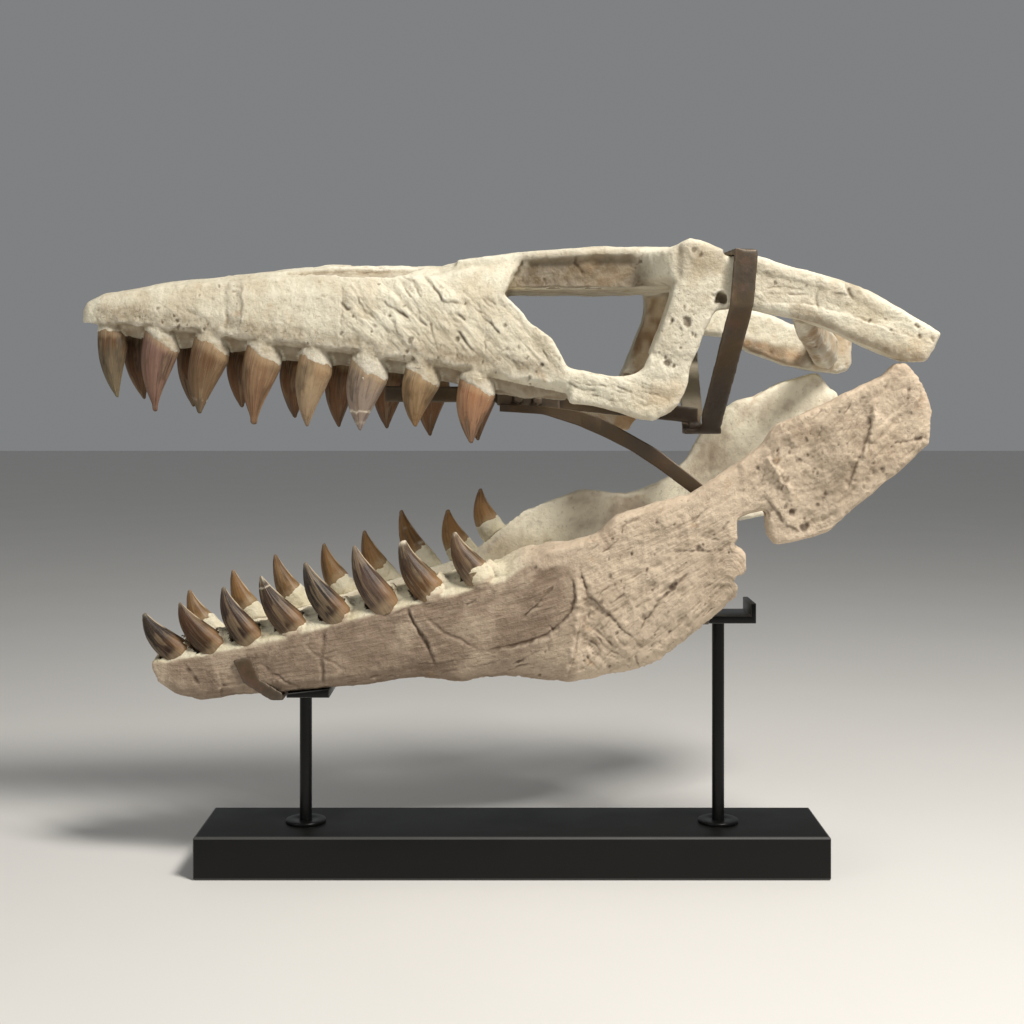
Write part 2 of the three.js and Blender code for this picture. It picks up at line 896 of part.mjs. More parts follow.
function buildArmature() {
  add("armature_strap_left", strapLeg(LEFT, 634, along([500, 213], [640, 231], [690, 235])), rustyIron);
  add("armature_strap_right", strapLeg(RIGHT, 586, along([500, 197], [590, 206])), rustyIron);
  const half = STRAP.reach + STRAP.thickness;
  const over = [
    [235, -half],
    [260, -half],
    [231, half],
    [206, half],
  ];
  add("armature_strap_top", flatAcross(over, STRAP.top, STRAP.top + STRAP.thickness), rustyIron);
  const sole = box([197, -14, STRAP.bottom - 6], [239, 14, STRAP.bottom]);
  const weld = box([203, -7, STRAP.bottom - 1], [222, 7, spineMiddle(213) - SPINE_BAR.depth / 2 - GAP]);
  add("armature_strap_foot", join(sole, weld), rustyIron);

  const spine = drawn(SQUARE, [SPINE_BAR.from, -14, SPINE_BAR.to], (x, u, v) => [
    (u * SPINE_BAR.width) / 2,
    spineMiddle(x) + (v * SPINE_BAR.depth) / 2,
  ]);
  add("armature_spine_bar", spine, rustyIron);
  for (const [name, x] of [
    ["front", -128],
    ["rear", -60],
  ]) {
    const from = spineMiddle(x) + SPINE_BAR.depth / 2 + GAP + 0.1;
    const post = box([x, -4, from], [x + 20, 4, vaultTop(x) - GAP]);
    add(`armature_post_${name}`, post, rustyIron);
  }
  const clampY = SPINE_BAR.width / 2 + GAP;
  const clamp = drawn(SQUARE, [-17, 20, 55], (x, u, v) => [
    -clampY - 4 + u * 4,
    spineMiddle(x) - 3 + v * 9,
  ]);
  const bolt = (x) => {
    const head = new THREE.CylinderGeometry(6, 6, 9, 6);
    return solid(head, (a, b, c) => [x + a, -clampY - 11 + b, spineMiddle(x) - 2 + c], false);
  };
  add("armature_clamp", join(clamp, bolt(7), bolt(29)), rustyIron);
  const curvedStations = [-14, 10, 35, 55, 75, 100, 130, 160, 185, 205, 224];
  const curved = drawn(SQUARE, curvedStations, (x, u, v) => {
    const middle = (curvedTop(x) + curvedBottom(x)) / 2;
    const reach = (curvedTop(x) - curvedBottom(x)) / 2;
    return [curvedSide(x) + u * 3, middle + v * reach];
  });
  add("armature_curved_bar", curved, rustyIron);

  const clipOutline = [
    [-313, 241],
    [-301, 216],
    [-270, 198],
    [-256, 198],
    [-256, 206],
    [-282, 221],
    [-292, 245],
  ];
  const clip = plate(clipOutline, {
    side: LEFT,
    outer: (x) => jawHalf(x) + 3 + GAP,
    thickness: 3,
    round: 0.8,
  });
  add("armature_front_clip", clip, rustyIron);
  const underReach = jawHalf(-270) - 0.2;
  add("armature_front_tie", box([-270, -underReach, 197], [-256, underReach, 202.9]), rustyIron);
  const restZ = 289 + GAP;
  const restX = [200, 214];
  const ear = (x) => jawHalf(x) - jawThickness(x) - GAP;
  const tieReach = ear(restX[0]) - 4 - GAP;
  add("armature_jaw_tie", box([restX[0], -tieReach, restZ], [restX[1], tieReach, restZ + 12]), rustyIron);
  for (const [name, side] of SIDES) {
    const inner = side * (ear(restX[0]) - 4);
    const outerY = side * ear(restX[0]);
    const [y0, y1] = [inner, outerY].sort((a, b) => a - b);
    add(`armature_jaw_ear_${name}`, box([restX[0], y0, restZ], [restX[1], y1, restZ + 75]), rustyIron);
  }
}

buildFace();
buildRoof();
for (const [name, side] of SIDES) {
  buildCheek(name, side);
  buildJaw(name, side);
}
add("occipital", buildOccipital(), creamBone);
buildStand();
buildArmature();

export default skull;
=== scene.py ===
# %% [markdown]
# # A fossil mosasaur skull on its museum stand
#
# The real object is a skull about 0.9 m long with its jaws wide open. The bones are dry fossil
# bone, patched with plaster. An iron strap and bars carry them, and two black rods stand on a
# long black block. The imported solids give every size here. This script dresses them: it turns
# the faceted bones into worn, cracked and pitted ones, grows proper teeth in their sockets, and
# gives the iron its rust.
#
# All working numbers are millimetres, as in a workshop drawing, and become metres only when a
# mesh is made.

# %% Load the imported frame
import math

import bmesh
import bpy
import numpy as np
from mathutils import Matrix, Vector
from mathutils.bvhtree import BVHTree


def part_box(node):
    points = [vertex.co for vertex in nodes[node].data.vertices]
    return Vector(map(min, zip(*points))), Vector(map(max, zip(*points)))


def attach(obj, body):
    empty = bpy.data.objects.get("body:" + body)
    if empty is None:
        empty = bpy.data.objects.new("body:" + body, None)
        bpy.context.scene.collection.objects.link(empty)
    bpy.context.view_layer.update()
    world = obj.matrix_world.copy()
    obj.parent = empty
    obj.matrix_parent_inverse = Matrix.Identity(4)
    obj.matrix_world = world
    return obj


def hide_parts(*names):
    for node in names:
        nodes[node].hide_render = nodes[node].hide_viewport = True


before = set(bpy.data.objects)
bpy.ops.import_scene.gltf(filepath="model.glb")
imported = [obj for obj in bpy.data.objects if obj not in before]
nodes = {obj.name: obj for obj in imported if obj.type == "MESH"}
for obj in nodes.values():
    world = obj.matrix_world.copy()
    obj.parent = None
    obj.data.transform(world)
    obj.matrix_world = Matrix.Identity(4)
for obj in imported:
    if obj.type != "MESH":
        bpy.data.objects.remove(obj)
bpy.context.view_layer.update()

MM = 0.001

# %% [markdown]
# ## Randomness that repeats
#
# Fossil bone is rough at every scale. Smooth noise gives that roughness: each corner of an
# unseen lattice gets a number, and the points between take a soft blend of the eight corners
# around them. Adding finer and finer copies gives the fractal kind. The numbers come from a
# hash of the corner's place, so the skull comes out the same each time.


# %% Smooth noise
# large primes keep neighbouring corners from getting related numbers
PRIMES = (73856093, 19349663, 83492791)
SEED_PRIME = 2654435761
STIR = np.uint32(0x45D9F3B)
HALF_RANGE = 2147483647.5  # half of the largest whole number in 32 bits


def lattice(cell, seed):
    """A repeatable number from -1 to 1 for each whole-number cell."""
    i, j, k = (place * prime for place, prime in zip(cell.astype(np.int64).T, PRIMES))
    h = (i ^ j ^ k ^ seed * SEED_PRIME).astype(np.uint32)
    for _ in range(2):
        h = (h ^ (h >> 16)) * STIR
    return (h ^ (h >> 16)) / HALF_RANGE - 1


def noise(points, size, seed):
    """Soft noise from -1 to 1 whose lumps are about `size` across, in all or in each direction."""
    place = points / size
    cell = np.floor(place)
    f = place - cell
    f = f * f * f * (f * (f * 6 - 15) + 10)
    total = np.zeros(len(points))
    for corner in np.ndindex(2, 2, 2):
        weight = np.prod(np.where(corner, f, 1 - f), axis=1)
        total += weight * lattice(cell + corner, seed)
    return total


def fractal(points, size, seed, octaves=4, gain=0.5):
    """Noise with finer and finer copies of itself added."""
    total = np.zeros(len(points))
    for octave in range(octaves):
        total += gain**octave * noise(points, np.asarray(size) / 2**octave, seed + 17 * octave)
    return total


def ramp(value, low, high):
    """0 below low, 1 above high, and a soft step between."""
    t = np.clip((value - low) / (high - low), 0, 1)
    return t * t * (3 - 2 * t)


def span(value, start, full, fading, gone):
    """1 from full to fading, 0 before start and after gone, and soft between."""
    return ramp(value, start, full) * (1 - ramp(value, fading, gone))


# %% [markdown]
# ## Where the teeth stand
#
# The jaws keep their own measurements: half the width between the outer faces and the height of
# the tooth edge, each given at a few places along the skull. A crown is a recurved cone. Its
# table says where it stands, how far its tip leans, how long it is and how wide. The bone needs
# this list before the teeth are made, because a socket has to be left for each one.


# %% The jaws' own measurements
def along(*points):
    """A measurement that changes along the skull, from a few (place, value) pairs."""
    places, values = zip(*points)
    return lambda x: np.interp(x, places, values)


face_half = along((-490, 16), (-484, 21), (-465, 28), (-440, 32), (200, 128), (450, 166))
lip = along((-490, 622), (-478, 618), (-425, 618), (-300, 601), (-190, 586), (-70, 569), (60, 541))
jaw_half = along((-410, 20), (-396, 27), (-340, 36), (200, 128), (450, 171))
JAW_TOP = {
    "left": along((-410, 238), (-350, 249), (-255, 270), (-155, 300), (-45, 329), (-8, 340), (14, 356)),
    "right": along((-410, 238), (-350, 257), (-255, 280), (-155, 309), (-45, 341), (-14, 372), (4, 384)),
}
SIDE = {"left": -1, "right": 1}
TOOTH_INSET = 16  # from the jaw's outer face to the tooth row's middle

# %% The tooth rows
# where each crown stands along the jaw, the lean of its tip, its length and its width
UPPER_TEETH = {
    "left": [
        (-455, 5, 80, 34), (-395, -10, 92, 42), (-335, -18, 86, 44), (-275, -15, 90, 43),
        (-215, -14, 84, 40), (-155, -14, 80, 45), (-95, -12, 67, 42), (-35, -10, 74, 42),
    ],
    "right": [
        (-432, 5, 82, 40), (-367, -5, 83, 42), (-309, -8, 76, 44), (-248, -8, 80, 44),
        (-197, -8, 84, 42), (-141, -8, 78, 42), (-92, -6, 80, 42), (-35, -6, 75, 42),
    ],
}
# where each crown stands, where its tip is, its height above the jaw's edge and its width
LOWER_TEETH = {
    "left": [
        (-380, -420, 45, 34), (-338, -378, 50, 34), (-294, -327, 59, 34), (-242, -283, 60, 36),
        (-192, -232, 61, 36), (-140, -176, 66, 36), (-87, -122, 58, 38), (-31, -64, 53, 36),
    ],
    "right": [
        (-344, -375, 53, 32), (-293, -326, 63, 33), (-242, -278, 67, 34), (-190, -222, 64, 34),
        (-143, -175, 65, 34), (-96, -132, 75, 35), (-51, -77, 62, 38), (-18, -38, 58, 34),
    ],
}

# %% Collars and shapes
# how high the collar reaches up the crown, how much higher at the back than in front, and how
# blunt the tip is
UPPER_COLLARS = {
    "left": [
        (0.09, 0.02, 0.11), (0.14, 0.13, 0.14), (0.16, 0.10, 0.12), (0.16, 0.11, 0.18),
        (0.17, 0.07, 0.10), (0.20, 0.11, 0.08), (0.22, 0.13, 0.10), (0.18, 0.10, 0.12),
    ],
    "right": [(0.12, 0.08, 0.10)] * 8,
}
LOWER_COLLARS = {
    "left": [
        (0.00, 0.05, 0.16), (0.00, 0.08, 0.12), (0.02, 0.04, 0.14), (0.02, 0.04, 0.12),
        (0.04, 0.08, 0.14), (0.00, 0.06, 0.12), (0.04, 0.12, 0.24), (0.16, 0.12, 0.16),
    ],
    "right": [(0.36, 0.07, 0.14)] * 8,
}
# how far the middle line bows forward, where the back edge's shoulder is, how much narrower the
# foot is than the shoulder, how full the front edge is, and how fast the back edge runs in
CROWN_SHAPE = {
    "upper": dict(bow=-3, shoulder=0.28, waist=0.3, full=2.5, taper=1.2),
    "lower": dict(bow=-6, shoulder=0.15, waist=0.06, full=1.8, taper=1.35),
}


# %% One list of crowns
def upper_crown(side, x, lean, length, width):
    y = SIDE[side] * (face_half(x) - TOOTH_INSET)
    z = lip(x) - 2
    return np.array([x, y, z]), np.array([x + lean, y, z - length]), width


def lower_crown(side, x, tip_x, height, width):
    y = SIDE[side] * (jaw_half(x) - TOOTH_INSET)
    z = JAW_TOP[side](x) + 1
    return np.array([x, y, z]), np.array([tip_x, 0.97 * y, z + height]), width


def crown_list():
    """Every crown as its base, tip, width and shape, with the side and row it belongs to."""
    rows = (("upper", upper_crown, UPPER_TEETH, UPPER_COLLARS),
            ("lower", lower_crown, LOWER_TEETH, LOWER_COLLARS))
    crowns = []
    for side in SIDE:
        for row, stand, teeth, collars in rows:
            for number, (tooth, (collar, slant, nub)) in enumerate(zip(teeth[side], collars[side])):
                base, tip, width = stand(side, *tooth)
                crowns.append(dict(
                    CROWN_SHAPE[row], name=f"tooth_{row}_{side}_{number + 1}", row=row, side=side,
                    number=number, base=base, tip=tip, width=width, collar=collar, slant=slant,
                    nub=nub, seed=1000 + 20 * len(crowns)))
    return crowns


CROWNS = crown_list()
TOOTH_DEPTH_SHARE = 0.76  # a crown across the jaw, as a share of its width along it
RING_TILT = 0.7  # how far the crown's rings turn with its lean
print("crowns:", len(CROWNS))


# %% A crown's own coordinates
def ring_tilt(crown):
    """The angle of the crown's rings to the level."""
    run, rise = crown["tip"][0] - crown["base"][0], crown["tip"][2] - crown["base"][2]
    return RING_TILT * math.atan(run / rise)


def swing(crown, share):
    """How far the bent middle line is from a straight one."""
    return crown["bow"] * np.maximum(0, 4 * share * (1 - share))


def in_crown(crown, points):
    """How far up the crown each point is (0 base, 1 tip), and how far along and across the jaw
    from the crown's middle line."""
    tilt = ring_tilt(crown)
    run, _, rise = crown["tip"] - crown["base"]
    turn = -run * math.sin(tilt) - rise * math.cos(tilt)
    dz = points[:, 2] - crown["base"][2]
    share = dz / rise
    for _ in range(3):
        dx = points[:, 0] - crown["base"][0] - swing(crown, share)
        share = (-dx * math.sin(tilt) - dz * math.cos(tilt)) / turn
    lengthwise = (run * dz - rise * dx) / turn
    middle_y = crown["base"][1] + (crown["tip"][1] - crown["base"][1]) * share
    return share, lengthwise, (points[:, 1] - middle_y) / TOOTH_DEPTH_SHARE


def crown_point(crown, share, lengthwise, crosswise):
    """The other way round: a place in the frame from a place in the crown."""
    tilt = ring_tilt(crown)
    run, depth, rise = crown["tip"] - crown["base"]
    x = crown["base"][0] + run * share + swing(crown, share) + lengthwise * math.cos(tilt)
    y = crown["base"][1] + depth * share + crosswise * TOOTH_DEPTH_SHARE
    z = crown["base"][2] + rise * share - lengthwise * math.sin(tilt)
    return np.column_stack([x, y, z])


# %% How wide a crown is
def crown_radius(crown, share, back):
    """Half width at a height. The front edge is full and curved; the back edge swells to a
    shoulder and then runs nearly straight to the point, or to a small worn nub. `back` is 1 at
    the back, -1 in front."""
    share = np.clip(share, 0, 1)
    if crown["nub"] > 0.12 and crown["row"] == "upper":
        share = np.minimum(share / 0.94, 1)
    front_edge = 1 - share ** crown["full"]
    shoulder = crown["shoulder"]
    past = np.clip((share - shoulder) / (1 - shoulder), 0, 1)
    short = np.clip(1 - share / shoulder, 0, 1)
    back_edge = 1.02 * (1 - past ** crown["taper"]) - crown["waist"] * short**1.5
    blend = 0.5 + 0.5 * back
    blend = blend * blend * (3 - 2 * blend)
    edge = front_edge + (back_edge - front_edge) * blend
    nub = crown["nub"] * ramp(share, 0.55, 0.9)
    return crown["width"] / 2 * np.sqrt(edge**2 + nub**2)


def collar_height(crown, back, place, seed):
    """How far up the crown its collar reaches, with a ragged edge."""
    ragged = 0.022 * noise(place, 0.6, seed) + 0.008 * noise(place, 0.16, seed + 1)
    return crown["collar"] + crown["slant"] * back + ragged


# %% [markdown]
# ## From faceted solids to bone
#
# A bone is one smooth skin with no straight edges. Sculptors remesh a rough block into small
# even squares and then rub it smooth, and the same works in code. Solids that touch are joined
# and remeshed into cells of 2.3 to 2.8 mm, which closes the hairline gaps between them, and then
# relaxed. The relaxing takes one step in and one slightly longer step out, so edges melt and the
# bone doesn't shrink. Faces that will carry fine cracks are then cut once more.


# %% Helpers for meshes
def column(items, field, count, kind=np.float64):
    """One field of many mesh items, read in one go."""
    values = np.empty(count, kind)
    items.foreach_get(field, values)
    return values


def neighbour_mean(value, edges, count):
    """The mean over each point's neighbours, of which it has `count`."""
    a, b = edges.T
    return (np.bincount(a, value[b], len(value)) + np.bincount(b, value[a], len(value))) / count


def grid_faces(rings, spokes):
    """The faces between rings of points, and the two that close the ends."""
    faces = []
    for start in range(0, (rings - 1) * spokes, spokes):
        for j in range(spokes):
            k = (j + 1) % spokes
            faces.append([start + j, start + k, start + spokes + k, start + spokes + j])
    last = (rings - 1) * spokes
    return faces + [list(range(spokes))[::-1], list(range(last, last + spokes))]


def turned_over(faces):
    return [face[::-1] for face in faces]


def new_mesh(name, points, faces, masks=None):
    """A mesh from points in millimetres, with a number at each point for every mask."""
    mesh = bpy.data.meshes.new(name)
    mesh.from_pydata((np.asarray(points) * MM).tolist(), [], faces)
    for mask, values in (masks or {}).items():
        layer = mesh.attributes.new(mask, "FLOAT", "POINT")
        layer.data.foreach_set("value", np.asarray(values, np.float32))
    return mesh


def place_piece(name, mesh):
    """Puts a finished mesh on the mount, which is one still body."""
    piece = bpy.data.objects.new(name, mesh)
    bpy.context.scene.collection.objects.link(piece)
    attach(piece, "root")
    return piece


# %% Remesh a group of solids
def joined_solids(names):
    """The points and faces of several solids, and which solid each face came from."""
    verts, faces, owner = [], [], []
    for index, name in enumerate(names):
        mesh = nodes[name].data
        start = len(verts)
        verts += [tuple(v.co) for v in mesh.vertices]
        faces += [tuple(start + i for i in p.vertices) for p in mesh.polygons]
        owner += [index] * len(mesh.polygons)
    return verts, faces, owner


def remeshed(verts, faces, cell):
    """The same outer shape in even squares `cell` millimetres across."""
    block = bpy.data.meshes.new("block")
    block.from_pydata(verts, [], faces)
    holder = bpy.data.objects.new("block", block)
    bpy.context.scene.collection.objects.link(holder)
    modifier = holder.modifiers.new("even squares", "REMESH")
    modifier.mode = "VOXEL"
    modifier.voxel_size = cell * MM
    graph = bpy.context.evaluated_depsgraph_get()
    mesh = bpy.data.meshes.new_from_object(holder.evaluated_get(graph))
    bpy.data.objects.remove(holder)
    bpy.data.meshes.remove(block)
    return mesh


# %% A skin that can be sculpted
STEP_IN, STEP_OUT = 0.6, -0.62
BONE_MASKS = ("crack", "stain", "ochre", "porous", "plaster", "crazed", "pale", "brown", "run", "rise")


class Skin:
    """A mesh being sculpted, with its points in millimetres and its painted masks."""

    def __init__(self, names, cell, passes, fine=None, fillings=(), masks=BONE_MASKS):
        verts, faces, self.owner = joined_solids(names)
        self.names = names
        self.tree = BVHTree.FromPolygons([Vector(v) for v in verts], faces)
        for points, filling in fillings:
            faces += [tuple(len(verts) + i for i in face) for face in filling]
            verts += [tuple(p * MM) for p in points]
        self.mesh = remeshed(verts, faces, cell)
        self.read()
        self.relax(passes)
        if fine:
            self.refine(fine)
            self.relax(2)
        self.normals()
        self.masks = {name: np.zeros(len(self.co)) for name in masks}
        self.hidden = np.zeros(len(self.co), bool)
        self.flat = None

    def read(self):
        """Takes the points and edges from the mesh; write() puts the points back."""
        self.co = column(self.mesh.vertices, "co", 3 * len(self.mesh.vertices)).reshape(-1, 3) / MM
        self.edges = column(self.mesh.edges, "vertices", 2 * len(self.mesh.edges), np.int32).reshape(-1, 2)

    def relax(self, passes):
        count = np.bincount(self.edges.ravel(), minlength=len(self.co))
        for step in [STEP_IN, STEP_OUT] * passes:
            for axis in range(3):
                value = self.co[:, axis]
                self.co[:, axis] = value + step * (neighbour_mean(value, self.edges, count) - value)

    def melt(self, centre, radius, passes):
        """Rubs one place smooth, as a preparator does where plaster meets bone."""
        centre = np.asarray(centre, float)
        near = np.nonzero(np.hypot(*(self.co - centre).T[[0, 2]]) < 1.6 * radius)[0]
        near = near[np.sign(self.co[near, 1]) == np.sign(centre[1])]
        weight = 1 - ramp(np.hypot(*(self.co[near] - centre).T[[0, 2]]), 0.6 * radius, 1.5 * radius)
        local = np.full(len(self.co), -1)
        local[near] = np.arange(len(near))
        ends = local[self.edges]
        ends = ends[(ends >= 0).all(axis=1)]
        count = np.maximum(np.bincount(ends.ravel(), minlength=len(near)), 1)
        for _ in range(passes):
            for axis in range(3):
                value = self.co[near, axis]
                moved = STEP_IN * weight * (neighbour_mean(value, ends, count) - value)
                self.co[near, axis] = value + moved

    def write(self):
        self.mesh.vertices.foreach_set("co", (self.co * MM).ravel())
        self.mesh.update()

    def refine(self, fine):
        """Cuts the squares where fine(middles, directions) is true into four."""
        self.write()
        count = len(self.mesh.polygons)
        middle = column(self.mesh.polygons, "center", 3 * count).reshape(-1, 3) / MM
        facing = column(self.mesh.polygons, "normal", 3 * count).reshape(-1, 3)
        chosen = fine(middle, facing)
        work = bmesh.new()
        work.from_mesh(self.mesh)
        work.faces.ensure_lookup_table()
        edges = {e for i in np.nonzero(chosen)[0] for e in work.faces[i].edges}
        bmesh.ops.subdivide_edges(work, edges=list(edges), cuts=1, use_grid_fill=True)
        work.to_mesh(self.mesh)
        work.free()
        self.read()

    def normals(self):
        self.write()
        self.no = column(self.mesh.vertices, "normal", 3 * len(self.co)).reshape(-1, 3)

    def push(self, amount):
        """Moves each point outward by its own amount."""
        self.co += self.no * np.asarray(amount)[:, None]

    def paint(self, mask, value, where=slice(None)):
        """Raises a mask to the value wherever it is lower."""
        self.masks[mask][where] = np.maximum(self.masks[mask][where], value)

    def relief(self, passes):
        """How far each point stands out from the skin rubbed smooth, in millimetres."""
        rubbed = self.co.copy()
        count = np.bincount(self.edges.ravel(), minlength=len(rubbed))
        for _ in range(passes):
            for axis in range(3):
                rubbed[:, axis] = neighbour_mean(rubbed[:, axis], self.edges, count)
        return ((self.co - rubbed) * self.no).sum(axis=1)


# %% [markdown]
# ## Chisels
#
# Damage on the bone has two forms. A crack or step follows a line, and a pit or chip has a
# middle and a width. Both are given by their places in the side view, X along the skull and Z
# up, and cut straight into the side they are on. The view is warped a little first, so that no
# line comes out ruled.


# %% The side view
def facing_side(skin, side):
    """How squarely each point of the skin faces out on one side."""
    return ramp(side * skin.no[:, 1], 0.05, 0.45) * (side * skin.co[:, 1] > 4)


def side_view(skin):
    """X and Z of each point, slightly warped. Worked out once: the chisels move a point little."""
    if skin.flat is None:
        skin.flat = skin.co[:, [0, 2]].copy()
        for axis in range(2):
            skin.flat[:, axis] += 1.3 * noise(skin.co, 9, 501 + axis) + 0.5 * noise(skin.co, 3.5, 511 + axis)
    return skin.flat


def flat_3d(flat):
    """The side view as places in space, for noise to read."""
    return np.column_stack([flat, np.zeros(len(flat))])


# %% Distance from a line
def line_distance(flat, line):
    """Distance from each point to a line of points, the share of the line's length there, and
    whether the point is on the left of the line (1) or on its right (-1)."""
    line = np.asarray(line, float)
    lengths = np.hypot(*np.diff(line, axis=0).T)
    starts = np.concatenate([[0], np.cumsum(lengths)])
    best = np.full(len(flat), 1e9)
    share, left = np.zeros(len(flat)), np.ones(len(flat))
    for i, length in enumerate(lengths):
        step = (line[i + 1] - line[i]) / length
        away = flat - line[i]
        t = np.clip(away @ step, 0, length)
        d = np.hypot(*(away - t[:, None] * step).T)
        closer = d < best
        best[closer] = d[closer]
        share[closer] = (starts[i] + t[closer]) / starts[-1]
        left[closer] = np.where(step[0] * away[:, 1] > step[1] * away[:, 0], 1, -1)[closer]
    return best, share, left


def near_line(flat, weight, line, margin):
    """Which points a chisel following this line could touch."""
    line = np.asarray(line, float)
    low, high = line.min(0) - margin, line.max(0) + margin
    inside = (flat > low).all(1) & (flat < high).all(1) & (weight > 0)
    return np.nonzero(inside)[0]


# %% Cracks and ridges
def carve(skin, side, rows, mask="crack", lift=False):
    """Cuts each (depth, width, line) into the skin, or lifts it as a ridge."""
    flat, weight = side_view(skin), facing_side(skin, side)
    sink = np.zeros(len(skin.co))
    for depth, width, line in rows:
        where = near_line(flat, weight, line, 4 * width + 2)
        if not len(where):
            continue
        distance, share, _ = line_distance(flat[where], line)
        taper = np.clip(7 * np.minimum(share, 1 - share), 0.15, 1) * weight[where]
        taper = taper * (0.35 + 0.65 * ramp(noise(flat_3d(flat[where]), 9, 521), -0.45, 0.25))
        cut = np.exp(-((distance / width) ** 2)) * taper
        sink[where] = np.maximum(sink[where], depth * cut)
        if mask:
            # the crack mask paints shade along the cut
            edge = np.exp(-((distance / (0.9 * width)) ** 2)) * taper
            skin.paint(mask, edge * min(0.8, 0.15 + 0.22 * depth), where)
    skin.push(sink if lift else -sink)


# %% Steps and broken edges
def ledge(skin, side, rows):
    """Raises the ground on the left of each (height, reach, line): steep at the line itself and
    easing away over the reach, as a broken plate does."""
    flat, weight = side_view(skin), facing_side(skin, side)
    lift = np.zeros(len(skin.co))
    for height, reach, line in rows:
        where = near_line(flat, weight, line, 2.2 * reach)
        distance, share, left = line_distance(flat[where], line)
        signed = distance * left
        taper = np.clip(5 * np.minimum(share, 1 - share), 0, 1) * weight[where]
        easing = np.exp(-((np.maximum(signed, 0) / reach) ** 2))
        lift[where] += height * taper * ramp(signed, -1.3, 1.3) * easing
        # painted shadow along the foot of the step
        skin.paint("crack", 0.3 * taper * np.exp(-(((signed + 1.2) / 1.4) ** 2)), where)
    skin.push(lift)


def bite(skin, side, rows):
    """Breaks a piece out of an edge: (x, z, radius, run, rise) moves the edge by run and rise."""
    for x, z, radius, run, rise in rows:
        away = np.hypot(skin.co[:, 0] - x, skin.co[:, 2] - z)
        share = (1 - ramp(away, 0.35 * radius, radius)) * (side * skin.co[:, 1] > 0)
        skin.co[:, 0] += run * share
        skin.co[:, 2] += rise * share


# %% Layers and pits
def terraced(values, steps):
    """Turns a smooth swell into flat layers with short steep edges between them."""
    scaled = np.asarray(values) * steps
    floor = np.floor(scaled)
    return (floor + ramp(scaled - floor, 0.62, 0.95)) / steps


def dig(skin, side, spots, depth_share):
    """Cuts each (x, z, radius) as a rough-edged pit."""
    flat, weight = side_view(skin), facing_side(skin, side)
    sink = np.zeros(len(skin.co))
    for x, z, radius in spots:
        where = near_line(flat, weight, [(x, z)], 2.5 * radius + 1)
        distance = np.hypot(flat[where, 0] - x, 0.8 * (flat[where, 1] - z))
        distance = distance * (1 + 0.45 * noise(flat_3d(flat[where]), 1.6 * radius, 522))
        cut = (1 - ramp(distance, 0.35 * radius, 1.3 * radius)) * weight[where]
        sink[where] = np.maximum(sink[where], depth_share * radius * cut)
        # the crack mask paints shade into the pit
        skin.paint("crack", min(0.85, 0.15 + 0.17 * radius) * cut, where)
    skin.push(-sink)


# %% Outlines and zones
def inside(points, outline, soft):
    """1 well inside an outline in X and Z, 0 outside, and a soft edge about `soft` wide."""
    outline = np.asarray(outline, float)
    crossings = np.zeros(len(points), int)
    for a, b in zip(outline, np.roll(outline, -1, 0)):
        spans = (a[1] > points[:, 1]) != (b[1] > points[:, 1])
        with np.errstate(divide="ignore", invalid="ignore"):
            at = a[0] + (points[:, 1] - a[1]) * (b[0] - a[0]) / (b[1] - a[1])
        crossings += spans & (points[:, 0] < at)
    distance, _, _ = line_distance(points, np.vstack([outline, outline[:1]]))
    signed = np.where(crossings % 2 == 1, distance, -distance)
    return ramp(signed, -soft, soft)


def zone(skin, side, outline, soft):
    """How much each point lies in an outline on one side's face."""
    flat, weight = side_view(skin), facing_side(skin, side)
    amount = np.zeros(len(skin.co))
    where = near_line(flat, weight, outline, soft)
    amount[where] = inside(flat[where], outline, soft) * weight[where]
    return amount


def tint(skin, side, mask, strength, outline, soft):
    skin.paint(mask, strength * zone(skin, side, outline, soft))


# %% Scattered damage
def strew_cracks(skin, side, seed, count, outline, angle, spread, length, depth, width):
    """Short cracks strewn over an outline, all running about the same way."""
    rng = np.random.default_rng(seed)
    low, high = np.min(outline, 0), np.max(outline, 0)
    rows = []
    for _ in range(count):
        place = rng.uniform(low, high)
        if inside(place[None], outline, 0.5)[0] < 0.5:
            continue
        turn = math.radians(rng.normal(angle, spread))
        run = rng.uniform(0.5, 1.4) * length / 2
        step = run * np.array([math.cos(turn), math.sin(turn)])
        bend = rng.normal(0, 0.12, 2) * run
        rows.append((depth * rng.uniform(0.4, 1.2), width * rng.uniform(0.7, 1.3),
            [place - step, place + bend, place + step]))
    carve(skin, side, rows)


def strew_pits(skin, side, seed, count, outline, radius, depth_share):
    """Pits strewn over an outline, their sizes spread about one radius."""
    rng = np.random.default_rng(seed)
    low, high = np.min(outline, 0), np.max(outline, 0)
    places = rng.uniform(low, high, (count, 2))
    kept = places[inside(places, outline, 0.5) > 0.5]
    sizes = radius * rng.lognormal(0, 0.35, len(kept))
    dig(skin, side, [(x, z, r) for (x, z), r in zip(kept, sizes)], depth_share)


